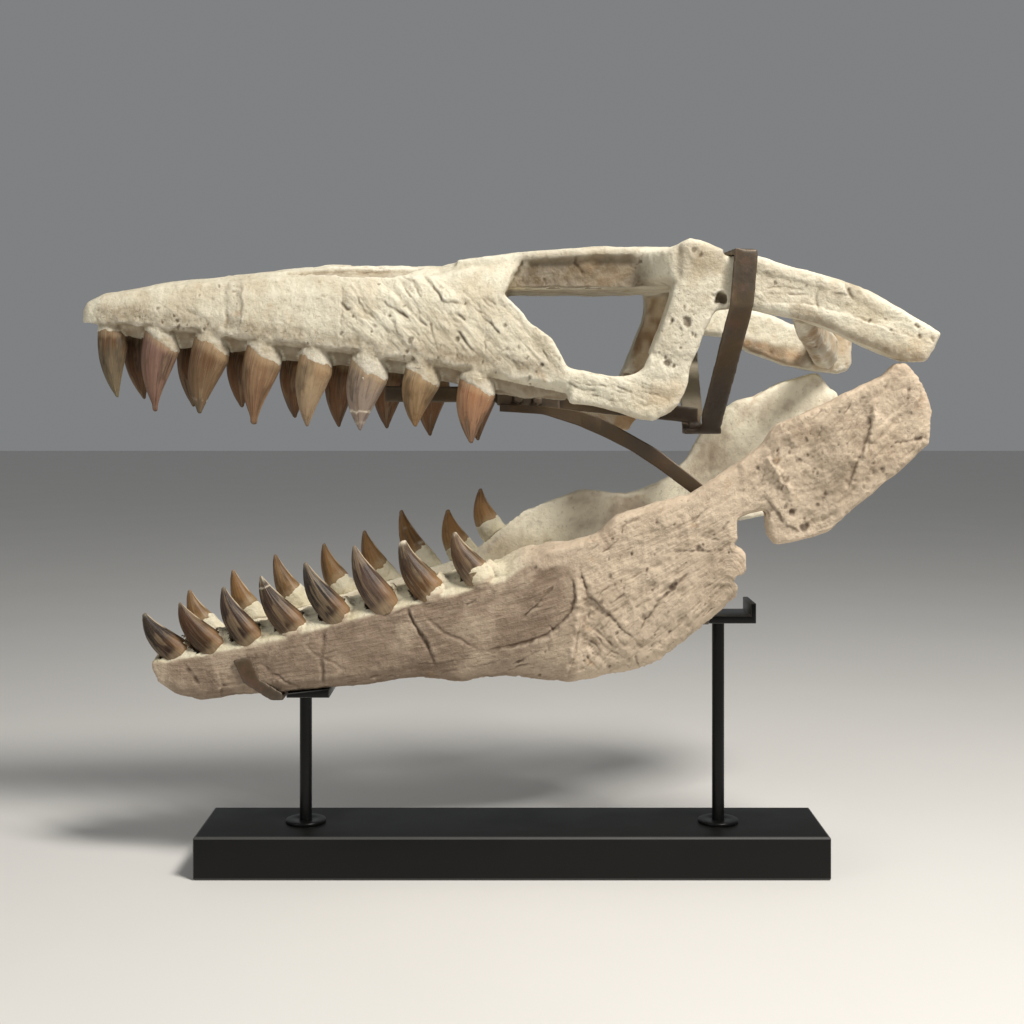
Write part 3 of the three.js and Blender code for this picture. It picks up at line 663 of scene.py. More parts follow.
# %% Sockets
def grip_crowns(skin, crowns, lip_thickness):
    """Draws the skin up each crown as a collar that closes on the enamel."""
    for crown in crowns:
        reach = 0.5 * np.abs(crown["tip"] - crown["base"]).max() + crown["width"]
        where = np.nonzero(np.abs(skin.co - (crown["base"] + crown["tip"]) / 2).max(axis=1) < reach)[0]
        share, lengthwise, crosswise = in_crown(crown, skin.co[where])
        off = np.hypot(lengthwise, crosswise) + 1e-6
        back = lengthwise / off
        true = crown_radius(crown, share, back)
        close = (off < true + 9) & (share > -0.12) & (share < 1.1)
        where, share, off, back, true = (a[close] for a in (where, share, off, back, true))
        crosswise = crosswise[close]
        place = np.column_stack([back, crosswise / off, 3 * share])
        edge = collar_height(crown, back, place, crown["seed"])
        lumps = 1 + 0.8 * noise(skin.co[where], 6, 71) + 0.4 * noise(skin.co[where], 2.5, 72)
        closing = ramp(share - edge, -0.045, 0.015)
        target = true + lip_thickness * lumps * (1 - closing) - 1.1 * closing
        free = 4 * ramp(share - edge, 0.15, 0.4)
        own = 1 - ramp(off - true, 2 + free, 6 + free)
        weight = ramp(share, -0.06, 0.03) * own
        new = off + weight * (np.maximum(target, 0.5) - off)
        skin.co[where] = crown_point(crown, share, back * new, crosswise / off * new)
        skin.hidden[where[(own > 0.5) & (share - edge > 0.1)]] = True
        skin.paint("plaster", ramp(share, -0.03, 0.08) * own, where)
    skin.normals()


# %% [markdown]
# ## The upper skull
#
# Snout, cheeks, roof, the bars round the eye and the bars behind it were glued and plastered
# into one, so they are skinned as one and cut apart again at the sutures. The near side gets
# the finer squares, because its cracks are only a millimetre or two wide. Inside the lip the
# jaw swells into a shelf that holds the tooth roots, so the mouth's edge rolls inward in shadow.

# %% What is skinned, and where finely
UPPER_BONES = [
    "premaxilla", "maxilla_left", "maxilla_right", "prefrontal_left", "prefrontal_right",
    "nasal_bar", "frontal", "parietal", "jugal_left", "jugal_right", "postorbital_left",
    "postorbital_right", "squamosal_left", "squamosal_right", "occipital",
]


def near_crowns(middle, row, side):
    """Whether each place is round the foot of a crown of one row and side."""
    close = np.zeros(len(middle), bool)
    for crown in CROWNS:
        if crown["row"] == row and crown["side"] == side:
            foot = crown["base"] + 0.12 * (crown["tip"] - crown["base"])
            close |= (np.abs(middle - foot) < [0.75 * crown["width"], 0.6 * crown["width"], 22]).all(axis=1)
    return close


def left_flank(middle, facing):
    return ((facing[:, 1] < -0.2) & (middle[:, 1] < -9)) | near_crowns(middle, "upper", "left")


# %% Shelf and fillet, joined in before the remesh
def root_shelf(side):
    """The ledge of bone inside the lip, as a bar of one section swept along the jaw."""
    section = [(11, 6), (11, 0), (14, -9), (19, -16), (27, -17), (35, -10), (38, 6)]
    rings = []
    for x in np.linspace(-468, 66, 60):
        drop = ramp(x, -468, -420) * (1 - 0.75 * ramp(x, 0, 60))
        wave = 1 + 0.12 * math.sin(x / 9) + 0.1 * math.sin(x / 23 + side)
        inward = min(1, face_half(x) / 46)
        rings.append([(x, side * (face_half(x) - u * inward), lip(x) + v * (drop * wave if v < 0 else 1))
            for u, v in section])
    faces = grid_faces(len(rings), len(section))
    return np.array(rings).reshape(-1, 3), faces if side > 0 else turned_over(faces)


def plaster_fillet(side):
    """Plaster smeared from the roof's set-back side onto the thicker bar behind the eye."""
    corners = [(130, 62), (174, 62), (174, 121)]
    points = [(x, side * y, z) for z in (661, 698) for x, y in corners]
    faces = [(2, 1, 0), (3, 4, 5), (0, 1, 4, 3), (1, 2, 5, 4), (2, 0, 3, 5)]
    return np.array(points, float), faces if side > 0 else turned_over(faces)


# %% Skin the upper skull
fillings = [make(side) for make in (root_shelf, plaster_fillet) for side in (-1, 1)]
upper = Skin(UPPER_BONES, 2.4, 9, left_flank, fillings)
# where one bone was plastered to the next: the middle, the radius and how long it was rubbed
JOINTS = [
    ((158, -88, 682), 24, 120), ((185, -100, 655), 24, 30), ((174, -100, 578), 20, 90),
    ((62, -100, 550), 15, 90), ((120, -100, 668), 10, 12), ((-2, -80, 690), 20, 90),
    ((14, -70, 672), 12, 60), ((230, -100, 670), 16, 30),
]
for place, radius, passes in JOINTS:
    upper.melt(place, radius, passes)
    upper.melt(np.array(place) * [1, -1, 1], radius, passes)
grip_crowns(upper, [c for c in CROWNS if c["row"] == "upper"], 0.45)
print("upper skin:", len(upper.co), "points")


# %% Scallop the lip
def scallop_lip(skin):
    """The lip is built up round each tooth and dips between them."""
    x, y, z = skin.co.T
    outside = ramp(6 - (face_half(x) - np.abs(y)), 0, 5) * (x < 70)
    near = outside * (1 - ramp(z - lip(x), 2, 16)) * (z > lip(x) - 4) * ~skin.hidden
    skin.co[:, 2] += near * (2.4 * noise(np.column_stack([x, 0 * x, np.sign(y) * 50]), 17, 33)
        + 1.2 * noise(skin.co, 8, 34))
    skin.normals()


scallop_lip(upper)
side_view(upper)

# %% [markdown]
# ## The snout and the cracked cheek
#
# The snout tip is sound bone, smooth and gently dented. Behind it the cheek has dried and split
# along the grain into long plates that lean backward as they go down. Its lower edge was built
# up again with plaster, which is full of air holes. The cuts follow the real breaks, and a
# scatter of smaller ones fills in between them. Each line below has its depth, its width and its
# places, and each pit its place and radius.

# %% Places on the snout and cheek
CHEEK = [(-190, 665), (-110, 670), (-60, 660), (5, 632), (45, 592), (55, 565), (-20, 572), (-120, 590),
         (-190, 602)]
SNOUT_LINES = [
    (0.9, 2.5, [(-320, 664), (-323, 645), (-318, 625), (-322, 606)]),
    (1.6, 3.2, [(-378, 639), (-368, 633), (-348, 628)]),
    (0.7, 1.5, [(-345, 651), (-333, 644)]),
    (0.8, 1.5, [(-212, 648), (-204, 646)]),
]
SNOUT_PITS = [
    (-329, 661, 1.8), (-399, 636, 1.4), (-390, 638, 1), (-350, 650, 1.4), (-374, 616, 1.8),
    (-368, 613, 1.4), (-340, 618, 1.4), (-312, 655, 1.3), (-308, 640, 1.2), (-468, 634, 1),
]
CHEEK_CRACKS = [
    (2.2, 1.6, [(-98, 672), (-88, 660), (-75, 641), (-52, 638)]),
    (2.0, 1.4, [(-143, 643), (-130, 635), (-110, 620)]),
    (1.2, 1.2, [(-121, 659), (-107, 642)]),
    (1.2, 1.2, [(-110, 661), (-98, 645)]),
    (1.3, 1.2, [(-173, 630), (-160, 620), (-146, 613)]),
    (1.0, 1.1, [(-165, 634), (-150, 622)]),
    (1.0, 1.1, [(-103, 634), (-100, 622), (-92, 612)]),
    (1.3, 1.2, [(-91, 622), (-88, 608), (-81, 586)]),
    (1.3, 1.2, [(-122, 615), (-100, 603)]),
    (1.8, 1.5, [(-62, 630), (-50, 620)]),
    (1.8, 1.3, [(-60, 610), (-40, 584)]),
    (1.9, 1.5, [(-36, 627), (-25, 619), (-12, 604)]),
    (1.0, 1.2, [(-54, 655), (-46, 645)]),
    (1.5, 1.8, [(-189, 641), (-182, 633), (-176, 635)]),
    (0.9, 1.1, [(-30, 598), (-27, 582)]),
    (0.9, 1.1, [(32, 587), (42, 573)]),
]
CHEEK_PITS = [
    (-112, 598, 3), (-60, 600, 2.6), (-9, 614, 2), (32, 571, 2.4), (-135, 625, 2.4), (-175, 626, 1.8),
    (-188, 606, 1.8), (-154, 609, 1.5), (-119, 636, 1.5), (-5, 589, 1.6), (7, 590, 1.5), (-81, 578, 1.6),
    (-33, 574, 1.5), (17, 579, 1.5), (-148, 662, 1.4), (-52, 638, 1.6),
]


NARIS = [(-255, 677), (-215, 683), (-110, 685), (-100, 681), (-125, 673), (-170, 671), (-205, 673)]
PATCH_EDGES = [
    (0.9, 20, [(-191, 602), (-188, 640), (-190, 668)]),
    (0.8, 14, [(-303, 668), (-301, 640), (-303, 608)]),
]
LOW_CHEEK = [(-150, 598), (40, 575), (55, 560), (-30, 564), (-150, 588)]
OLD_SEAM = [(-322, 668), (-302, 670), (-301, 604), (-320, 606)]
CHEEK_LEDGES = [(0.75 * depth, 9, line) for depth, _, line in CHEEK_CRACKS if depth > 1.5]
CHEEK_GRAIN = -47  # degrees: the bone split down and back


def lip_band(low, high):
    """The strip of the cheek just above its tooth edge."""
    places = np.linspace(-470, 60, 12)
    return [(x, lip(x) + high) for x in places] + [(x, lip(x) + low) for x in places[::-1]]


# %% Dried bone
def dried_bone(skin, side, outline, angle, depth, seed):
    """Bone split along its grain into layers and splinters."""
    amount = zone(skin, side, outline, 7)
    where = np.nonzero(amount)[0]
    turn = math.radians(angle)
    x, y, z = skin.co[where].T
    run, rise = x * math.cos(turn) + z * math.sin(turn), z * math.cos(turn) - x * math.sin(turn)
    grain = np.column_stack([run, y, rise + 2.5 * noise(skin.co[where], 30, seed)])
    layers = terraced(fractal(grain, (40, 30, 13), seed + 1, 2), 3)
    splinters = 1 - 2 * np.abs(noise(grain, (26, 20, 4.6), seed + 3))
    fibres = noise(grain, (12, 12, 2.4), seed + 4)
    strong = ramp(noise(skin.co[where], 24, seed + 5), -0.5, 0.3)
    push = np.zeros(len(skin.co))
    push[where] = depth * amount[where] * (1.5 * layers + strong * (0.45 * splinters + 0.28 * fibres))
    skin.push(push)


# %% Sculpt the snout and cheeks
def sculpt_cheeks(skin):
    for side, seed in ((-1, 40), (1, 60)):
        skin.paint("crazed", zone(skin, side, CHEEK, 7))
        dried_bone(skin, side, CHEEK, CHEEK_GRAIN, 1.0, seed)
        strew_cracks(skin, side, seed, 26, CHEEK, CHEEK_GRAIN, 9, 26, 0.9, 1.2)
        band = zone(skin, side, lip_band(-3, 20), 6) * ramp(-skin.co[:, 0], 20, 80)
        skin.paint("porous", band)
        # painted shade: the strip above the teeth is stained darker where the lip rolls inward
        skin.paint("stain", 0.4 * band)
        strew_pits(skin, side, seed + 2, 150, lip_band(0, 18), 1.2, 0.7)
        built_up = zone(skin, side, LOW_CHEEK, 8)
        skin.paint("porous", built_up)
        skin.paint("stain", 0.5 * built_up)
        seam = zone(skin, side, OLD_SEAM, 5)
        skin.paint("porous", seam)
        skin.push(0.5 * seam * fractal(skin.co, 7, seed + 6, 2))
        slot_wall = zone(skin, side, NARIS, 2)
        skin.push(-5 * slot_wall)
        # painted shade in the sunken slot
        skin.paint("stain", 0.45 * slot_wall)
        skin.paint("porous", slot_wall)
        ledge(skin, side, PATCH_EDGES + CHEEK_LEDGES)
    carve(skin, -1, SNOUT_LINES, mask=None)
    dig(skin, -1, SNOUT_PITS, 0.6)
    carve(skin, -1, CHEEK_CRACKS)
    dig(skin, -1, CHEEK_PITS, 0.6)


sculpt_cheeks(upper)
print("cracked or pitted points:", int((upper.masks["crack"] > 0.1).sum()))

# %% [markdown]
# ## Round the eye and behind it
#
# The frontal's side is set back and open-textured, like the inside of a rib. The bars round the
# eye are smooth where a preparator filled them and porous where they didn't. A bolt hole goes
# through the bar behind the eye, where the iron once held it. The bars at the back end in
# flaking ridges.

# %% Places on the roof, eye bars and back bars
FRONTAL_SIDE = [(15, 692), (90, 696), (134, 695), (146, 680), (150, 656), (90, 652), (5, 652), (-8, 650),
    (6, 672)]
ROOF_CRACKS = [
    (1.8, 1.6, [(71, 695), (70, 685), (79, 671)]),
    (2.4, 2.4, [(14, 690), (8, 673), (-2, 664)]),
]
JUGAL_LINES = [
    (1.0, 1.1, [(62, 553), (95, 548), (125, 540)]),
    (1.2, 1.2, [(100, 552), (131, 541)]),
    (1.0, 1.1, [(64, 543), (90, 538), (112, 531)]),
    (1.0, 1.1, [(119, 555), (142, 549)]),
    (1.1, 1.1, [(134, 544), (165, 536)]),
    (1.5, 1.8, [(102, 549), (111, 545)]),
]
BEHIND_EYE_PITS = [
    (186, 616, 3.8), (166, 573, 3.8), (173, 570, 2.8), (164, 578, 2.2), (184, 632, 2),
    (181, 608, 2.2), (192, 603, 2.2), (194, 693, 2.2), (201, 687, 2),
]
BACK_BAR_LINES = [
    (2.0, 2.2, [(353, 652), (355, 644), (358, 637)]),
    (1.4, 2.0, [(324, 652), (320, 640), (324, 626)]),
    (0.8, 1.1, [(265, 652), (290, 653), (312, 648)]),
    (0.8, 1.1, [(270, 645), (315, 645)]),
    (1.4, 1.6, [(395, 608), (399, 600)]),
    (1.8, 2.0, [(420, 613), (425, 608)]),
    (1.6, 2.0, [(423, 601), (426, 596)]),
    (1.4, 1.8, [(436, 600), (440, 593)]),
]
BOLT_HOLE = (222, 640, 6)
POSTORBITAL_LOW = [(150, 660), (215, 650), (215, 590), (190, 560), (150, 550), (140, 600)]
# stained places, each with its mask and how strong it is
BACK_TINTS = [
    ([(8, 666), (180, 664), (180, 655), (10, 655)], "stain", 0.5),
    ([(150, 550), (178, 556), (184, 540), (168, 524), (146, 530)], "ochre", 0.3),
    ([(300, 636), (360, 604), (436, 578), (430, 566), (352, 592), (292, 622)], "stain", 0.8),
    ([(262, 628), (300, 622), (300, 612), (262, 616)], "stain", 0.5),
    ([(414, 600), (440, 600), (436, 576), (420, 570)], "ochre", 0.25),
    ([(352, 664), (368, 652), (364, 640), (350, 648)], "brown", 0.5),
    ([(262, 682), (345, 660), (345, 634), (262, 636)], "stain", 0.4),
    ([(172, 706), (226, 694), (226, 668), (176, 660)], "stain", 0.55),
]
JUGAL_FACE = [(56, 566), (150, 552), (176, 548), (170, 524), (120, 526), (58, 542)]
BACK_BAR = [(255, 690), (330, 665), (440, 615), (430, 585), (340, 620), (258, 630)]
BACK_LEDGES = [
    (2.2, 9, [(360, 636), (352, 646), (346, 660)]),
    (1.5, 16, [(438, 590), (400, 604), (356, 622), (312, 634), (262, 636)]),
    (0.6, 10, [(255, 672), (300, 660), (340, 648)]),
]


# %% Sculpt the roof and the bars
SLOT_HEIGHT = 655.5
SLOT_HALF_WIDTH = 1.7


def cut_slot(skin):
    """The long slot under the roof's edge, above the eye."""
    x, y, z = skin.co.T
    below = ramp(-skin.no[:, 2], 0.1, 0.5) * (z < 664) * (z > 640)
    outward = ramp(skin.no[:, 1] * np.sign(y), 0.1, 0.3)
    slot = outward * span(x, 10, 14, 94, 98) * np.exp(-(((z - SLOT_HEIGHT) / SLOT_HALF_WIDTH) ** 2))
    # the crack mask paints shade into the slot
    skin.paint("crack", 1.3 * slot)
    # painted shade on the faces that look down, under the roof's edge
    skin.paint("stain", 0.5 * below * span(x, 0, 14, 120, 150))
    skin.push(-2.5 * slot)


def sculpt_back(skin):
    cut_slot(skin)
    for side, seed in ((-1, 80), (1, 100)):
        band = zone(skin, side, FRONTAL_SIDE, 14)
        skin.push(band * (-0.8 + 0.8 * noise(skin.co, 16, seed)))
        # painted shade: the frontal's set-back side is painted brown for the shade under the roof's edge
        tint(skin, side, "brown", 0.92, FRONTAL_SIDE, 15)
        skin.paint("porous", 0.5 * band)
        strew_pits(skin, side, seed + 1, 24, FRONTAL_SIDE, 1.2, 0.6)
        strew_pits(skin, side, seed + 2, 16, POSTORBITAL_LOW, 1.4, 0.6)
        tint(skin, side, "porous", 0.8, POSTORBITAL_LOW, 8)
        dried_bone(skin, side, BACK_BAR, -20, 0.7, seed + 20)
        strew_cracks(skin, side, seed + 3, 12, BACK_BAR, -18, 10, 30, 0.8, 1.2)
        strew_pits(skin, side, seed + 4, 26, BACK_BAR, 1.3, 0.6)
        ledge(skin, side, BACK_LEDGES)
        for outline, mask, amount in BACK_TINTS:
            tint(skin, side, mask, amount, outline, 6)
    dried_bone(skin, -1, JUGAL_FACE, -20, 0.9, 130)
    strew_cracks(skin, -1, 131, 16, JUGAL_FACE, -22, 8, 34, 1.0, 1.1)
    carve(skin, -1, ROOF_CRACKS + JUGAL_LINES + BACK_BAR_LINES)
    dig(skin, -1, BEHIND_EYE_PITS, 0.55)
    dig(skin, -1, [BOLT_HOLE], 1.4)


# %% Stains and painted shade on the inner faces
def stain_and_shade_inside(skin):
    """Brown and orange on the inner faces of the far bars: stains where iron ran down them, partly painted
    shade on the far eye bar, and painted shade on the strut and on the shelf in the lip's shadow.
    """
    x, y, z = skin.co.T
    inner = ramp(-skin.no[:, 1] * np.sign(y), 0, 0.4) * (np.abs(y) > 20)
    patches = ramp(fractal(skin.co, 20, 151, 2), -0.5, 0.2)
    edge = z + 0.2 * (x - 290) + 4 * noise(skin.co, 14, 152)
    # painted shadow that the lip casts on the shelf below it
    lip_shadow = ramp(face_half(x) - np.abs(y), 7, 11) * (z < lip(x) - 1) * (x < 80)
    lip_shadow = lip_shadow * (skin.masks["plaster"] < 0.3)
    eye_bar = inner * span(x, 138, 150, 190, 200) * (1 - ramp(z, 650, 665))
    low_jugal = inner * span(x, 50, 90, 170, 185) * (1 - ramp(z, 518, 534))
    low_edge = inner * span(x, 270, 285, 350, 372) * (1 - ramp(edge, 602, 614))
    # painted shade on the strut
    strut_shade = span(x, 326, 336, 368, 380) * (np.abs(y) < 108) * (z < 660)
    blunt_end = inner * ramp(x, 358, 374)
    # the far eye bar's brown is partly a stain and partly painted shade
    skin.paint("brown", 0.85 * eye_bar * patches)
    skin.paint("brown", 0.9 * low_edge * (1 - 0.4 * patches))
    skin.paint("brown", 0.5 * lip_shadow)
    skin.paint("ochre", 0.5 * eye_bar)
    skin.paint("ochre", low_jugal * (0.4 + 0.5 * patches))
    skin.paint("ochre", low_edge * (0.25 + 0.4 * patches))
    skin.paint("ochre", 0.35 * patches * np.maximum(strut_shade, blunt_end))
    skin.paint("stain", 0.9 * strut_shade)
    skin.paint("stain", 0.45 * blunt_end)
    skin.paint("stain", 0.6 * lip_shadow)


sculpt_back(upper)
stain_and_shade_inside(upper)


# %% Wear all over
def weather(skin, swell, rough, chip, seed):
    """Dents and low swells everywhere, chipped edges, and a fine tooth where bone is porous."""
    edges = np.clip(skin.relief(8) / 0.8, 0, 1)
    chipped = noise(skin.co, 7, seed + 2) + 0.5 * noise(skin.co, 3.5, seed + 3)
    skin.push(-chip * edges * ramp(chipped, 0.1, 0.8))
    skin.push(swell * (fractal(skin.co, 48, seed, 2) + 0.55 * fractal(skin.co, 15, seed + 5, 2)))
    coarse = 0.35 + 0.65 * skin.masks["porous"]
    skin.push(rough * coarse * fractal(skin.co, 5.5, seed + 9, 2, 0.6))
    skin.normals()


weather(upper, swell=0.9, rough=0.4, chip=1.3, seed=200)
print("upper skull:", len(upper.co), "points, worn all over")

# %% [markdown]
# ## The lower jaw
#
# The two halves of the lower jaw aren't joined at the chin, so each is a skin of its own. Each
# half has three bones: the toothed dentary, the surangular that rises behind it, and the
# articular at the hinge. Their bone is greyer and coarser than the skull's, with a grain that
# runs along the jaw and swings upward at the back.

# %% Skin the two halves of the jaw
JAW_BONES = {side: [f"{bone}_{side}" for bone in ("dentary", "surangular", "articular")] for side in SIDE}


def left_jaw_face(middle, facing):
    return (facing[:, 1] < -0.2) | near_crowns(middle, "lower", "left")


def right_jaw_sockets(middle, facing):
    return near_crowns(middle, "lower", "right")


jaw_left = Skin(JAW_BONES["left"], 2.3, 9, left_jaw_face)
jaw_right = Skin(JAW_BONES["right"], 2.8, 8, right_jaw_sockets)
jaws = {"left": jaw_left, "right": jaw_right}


# %% Heap up the gums
def mound_gum(skin, lift):
    """The plaster the teeth stand in is heaped up toward the inside of the jaw."""
    x, y, z = skin.co.T
    inward = jaw_half(x) - np.abs(y)
    top = ramp(skin.no[:, 2], 0.1, 0.6) * span(x, -400, -385, 0, 40)
    near_top = span(z - JAW_TOP["left"](x), -16, -8, 12, 20)
    swell = 1 + 0.25 * noise(skin.co, 18, 606)
    skin.co[:, 2] += lift * top * near_top * ramp(inward, 2, 17) * swell
    skin.relax(1)
    skin.normals()


for side, lift in (("left", 9), ("right", 3)):
    mound_gum(jaws[side], lift)
    grip_crowns(jaws[side], [c for c in CROWNS if c["row"] == "lower" and c["side"] == side], 0.5)
    side_view(jaws[side])
print("jaw skins:", len(jaw_left.co), "and", len(jaw_right.co), "points")

# %% [markdown]
# ## Breaks in the jaw
#
# The jaw was found in pieces. Two long breaks cross the dentary, a step curves round the hollow
# under its back teeth, and the surangular is split in a V with splinters running up to it. The
# articular is a rough slab, all lumps and pits, where the hinge muscles held.

# %% The jaw's long breaks
REAR_EDGE = [(60, 228), (68, 268), (74, 306)]
CURVED_STEP = [(56, 350), (66, 338), (70, 320), (62, 300), (40, 279), (0, 265), (-34, 257)]
HOLLOW_FRONT = [(-34, 257), (-58, 272), (-75, 277), (-98, 298)]
FRONT_BREAK = [(-116, 307), (-108, 288), (-97, 271), (-83, 242)]
CRADLE_BREAK = [(-187, 235), (-220, 251), (-235, 264)]
SPLIT_FRONT = [(73, 350), (84, 323), (107, 301), (132, 277)]
SPLIT_REAR = [(132, 278), (143, 298), (156, 318), (190, 352)]
SADDLE = [(377, 530), (376, 505), (368, 482), (348, 430)]
HINGE_RIDGE = [(297, 431), (280, 460), (268, 476)]
# height of the step, how far it eases away, and its line
JAW_LEDGES = [
    (2.2, 26, REAR_EDGE), (3.2, 20, CURVED_STEP), (1.6, 14, HOLLOW_FRONT), (2.0, 14, FRONT_BREAK),
    (1.4, 16, CRADLE_BREAK), (1.8, 12, SPLIT_FRONT), (1.5, 11, SPLIT_REAR), (3.4, 16, SADDLE),
    (2.4, 12, HINGE_RIDGE),
    (2.0, 16, [(262, 440), (290, 402), (316, 388)]),
    (1.4, 12, [(-330, 196), (-326, 214), (-332, 232)]),
]

# %% The dentary's and surangular's cracks and pits
DENTARY_BREAKS = [
    (2.0, 2.0, CURVED_STEP), (1.2, 1.6, HOLLOW_FRONT), (2.8, 2.2, FRONT_BREAK), (1.4, 1.8, CRADLE_BREAK),
    (1.6, 1.7, [(-373, 236), (-362, 225), (-353, 212)]),
    (1.8, 2.6, [(-208, 278), (-211, 245), (-209, 216)]),
    (1.2, 1.6, [(-285, 240), (-262, 225), (-232, 210)]),
    (1.2, 2.0, [(-345, 208), (-315, 214), (-303, 212)]),
    (1.9, 1.3, [(46, 333), (30, 315), (10, 295)]),
    (1.3, 1.6, [(19, 349), (27, 353)]),
    (1.6, 1.7, [(5, 247), (15, 254)]),
    (1.2, 1.5, [(-51, 309), (-39, 314)]),
    (1.0, 1.2, [(40, 271), (40, 261)]),
]
SURANGULAR_BREAKS = [
    (2.0, 1.9, SPLIT_FRONT), (1.3, 1.5, SPLIT_REAR),
    (1.1, 1.2, [(74, 300), (92, 283), (112, 266)]),
    (0.9, 1.1, [(88, 282), (100, 268), (116, 258)]),
    (0.9, 1.0, [(76, 280), (96, 262), (118, 252)]),
    (1.6, 1.5, [(114, 392), (125, 401), (139, 408)]),
    (1.2, 1.2, [(119, 404), (132, 396)]),
    (1.3, 1.6, [(132, 258), (139, 244)]),
    (1.0, 1.3, [(151, 283), (162, 294)]),
    (1.0, 1.2, [(200, 388), (232, 381)]),
    (0.9, 1.2, [(170, 372), (222, 371)]),
    (1.6, 2.4, [(100, 246), (118, 243)]),
]
SURANGULAR_RIDGES = [
    (2.6, 5.0, [(70, 340)] + REAR_EDGE[::-1]),
    (1.6, 5.0, [(128, 348), (125, 325), (133, 300)]),
]
SURANGULAR_PITS = [
    (96, 316, 2.8), (104, 362, 1.8), (127, 367, 1.8), (173, 334, 3.4), (105, 344, 2), (156, 402, 1.8),
    (142, 300, 2.6), (187, 426, 1.4), (150, 330, 1.6), (75, 342, 2.4), (111, 334, 1.6), (207, 315, 1.4),
]

# %% The articular's grooves, ridges and pits
ARTICULAR_GROOVES = [
    (2.4, 5.0, [(366, 538), (371, 524), (375, 505)]),
    (2.2, 5.0, [(289, 427), (298, 412)]),
    (1.4, 2.0, [(330, 440), (328, 429)]),
    (1.6, 2.2, [(396, 487), (430, 495)]),
    (1.2, 1.6, [(413, 547), (411, 520)]),
    (1.2, 1.6, [(424, 545), (424, 529)]),
]
ARTICULAR_RIDGES = [
    (4.0, 4.5, HINGE_RIDGE[::-1]),
    (3.6, 7.0, [(378, 528), (378, 500), (370, 483), (352, 465)]),
    (1.6, 4.0, [(288, 500), (299, 482)]),
    (2.0, 6.0, [(275, 502), (292, 514), (324, 516)]),
]
ARTICULAR_PITS = [
    (309, 490, 2.0), (307, 398, 5), (296, 413, 2.6), (288, 420, 2.0), (321, 424, 2.2), (287, 504, 1.4),
    (324, 504, 1.4), (387, 460, 2.6), (406, 488, 1.4), (311, 475, 1.6), (302, 471, 1.6), (344, 520, 1.6),
    (329, 435, 1.8), (280, 480, 1.6), (352, 488, 1.3),
]

# %% Zones of the jaw
DENTARY_FACE = [(-395, 235), (-250, 262), (-120, 308), (0, 345), (66, 330), (70, 232), (-60, 224),
    (-320, 200)]
SURANGULAR_FACE = [(75, 380), (150, 405), (190, 425), (240, 400), (236, 330), (170, 260), (75, 232)]
SPLIT_GROUND = [(75, 335), (137, 275), (130, 245), (75, 240)]
DENTARY_CORNER = [(-20, 238), (20, 262), (60, 296), (70, 270), (70, 232), (0, 228)]
HINGE_CENTRE = [(258, 488), (300, 512), (375, 506), (398, 476), (350, 428), (318, 420), (298, 462)]
ARTICULAR_FACE = [(240, 440), (330, 560), (425, 560), (435, 470), (330, 385), (270, 400), (240, 425)]
# outline, number of strewn cracks, their angle and length
STREWN = ((DENTARY_FACE, 26, 14, 44), (SURANGULAR_FACE, 22, 42, 22), (ARTICULAR_FACE, 20, 62, 18))

# %% Grain along the jaw
JAW_MIDDLE = along((-400, 214), (-300, 226), (-200, 244), (-100, 266), (0, 292), (75, 318), (150, 352),
    (240, 404), (330, 470), (430, 556))


def jaw_grain(skin):
    """Places measured along the jaw's own middle line, and up or down from it."""
    x, y, z = skin.co.T
    ahead = JAW_MIDDLE(x + 12) - JAW_MIDDLE(x - 12)
    turn = np.arctan2(ahead, 24)
    rise = (z - JAW_MIDDLE(x)) * np.cos(turn) + 4 * noise(skin.co, 70, 301)
    run = x * 1.15
    rise -= 0.35 * (x - 60) * span(x, 60, 110, 225, 260) * ramp(JAW_MIDDLE(x) - z, -20, 60)
    skin.masks["run"], skin.masks["rise"] = run * MM, rise * MM
    return np.column_stack([run, y, rise])


# %% Sculpt and colour the jaw
def sculpt_jaw(skin, side, seed):
    """Layers and fibres along the grain, lumps on the two rear bones, and strewn damage."""
    grain = jaw_grain(skin)
    face = facing_side(skin, side)
    dentary = zone(skin, side, DENTARY_FACE, 8)
    articular = zone(skin, side, ARTICULAR_FACE, 12)
    surangular = zone(skin, side, SURANGULAR_FACE, 10)
    layers = terraced(fractal(grain, (95, 60, 22), seed, 2), 3)
    fibres = fractal(grain, (46, 20, 4.4), seed + 1, 2, 0.6)
    fine = noise(grain, (24, 12, 2.4), seed + 2)
    strength = 0.5 + 0.5 * ramp(noise(skin.co, 40, seed), -0.4, 0.4)
    skin.push(face * (1.4 * layers + strength * (0.5 * fibres + 0.22 * fine)))
    skin.paint("porous", 0.85 * articular)
    skin.paint("porous", 0.6 * surangular)
    skin.paint("crazed", dentary)
    skin.paint("crazed", 0.9 * surangular)
    grain[:, 1] = skin.co[:, 1]  # the push has moved it a little
    rough = 1 - 2 * np.abs(fractal(grain, (60, 30, 26), seed + 3, 2, 0.55))
    lumps = 2.8 * noise(skin.co, 36, seed + 4) + 1.3 * rough + 0.5 * fractal(skin.co, 7, seed + 5, 2)
    skin.push(articular * lumps)
    rough = 1 - 2 * np.abs(noise(skin.co, 15, seed + 6))
    lumps = 1.6 * noise(skin.co, 26, seed + 7) + 0.8 * rough + 0.4 * noise(skin.co, 6, seed + 8)
    skin.push(surangular * lumps)
    dried_bone(skin, side, SPLIT_GROUND, -38, 0.9, seed + 10)
    for outline, count, angle, length in STREWN:
        strew_cracks(skin, side, seed + count, count, outline, angle, 8, length, 0.9, 1.15)
    strew_pits(skin, side, seed + 7, 30, DENTARY_FACE, 1.2, 0.6)
    strew_pits(skin, side, seed + 8, 50, SURANGULAR_FACE, 1.3, 0.6)
    strew_pits(skin, side, seed + 9, 60, ARTICULAR_FACE, 1.0, 0.5)


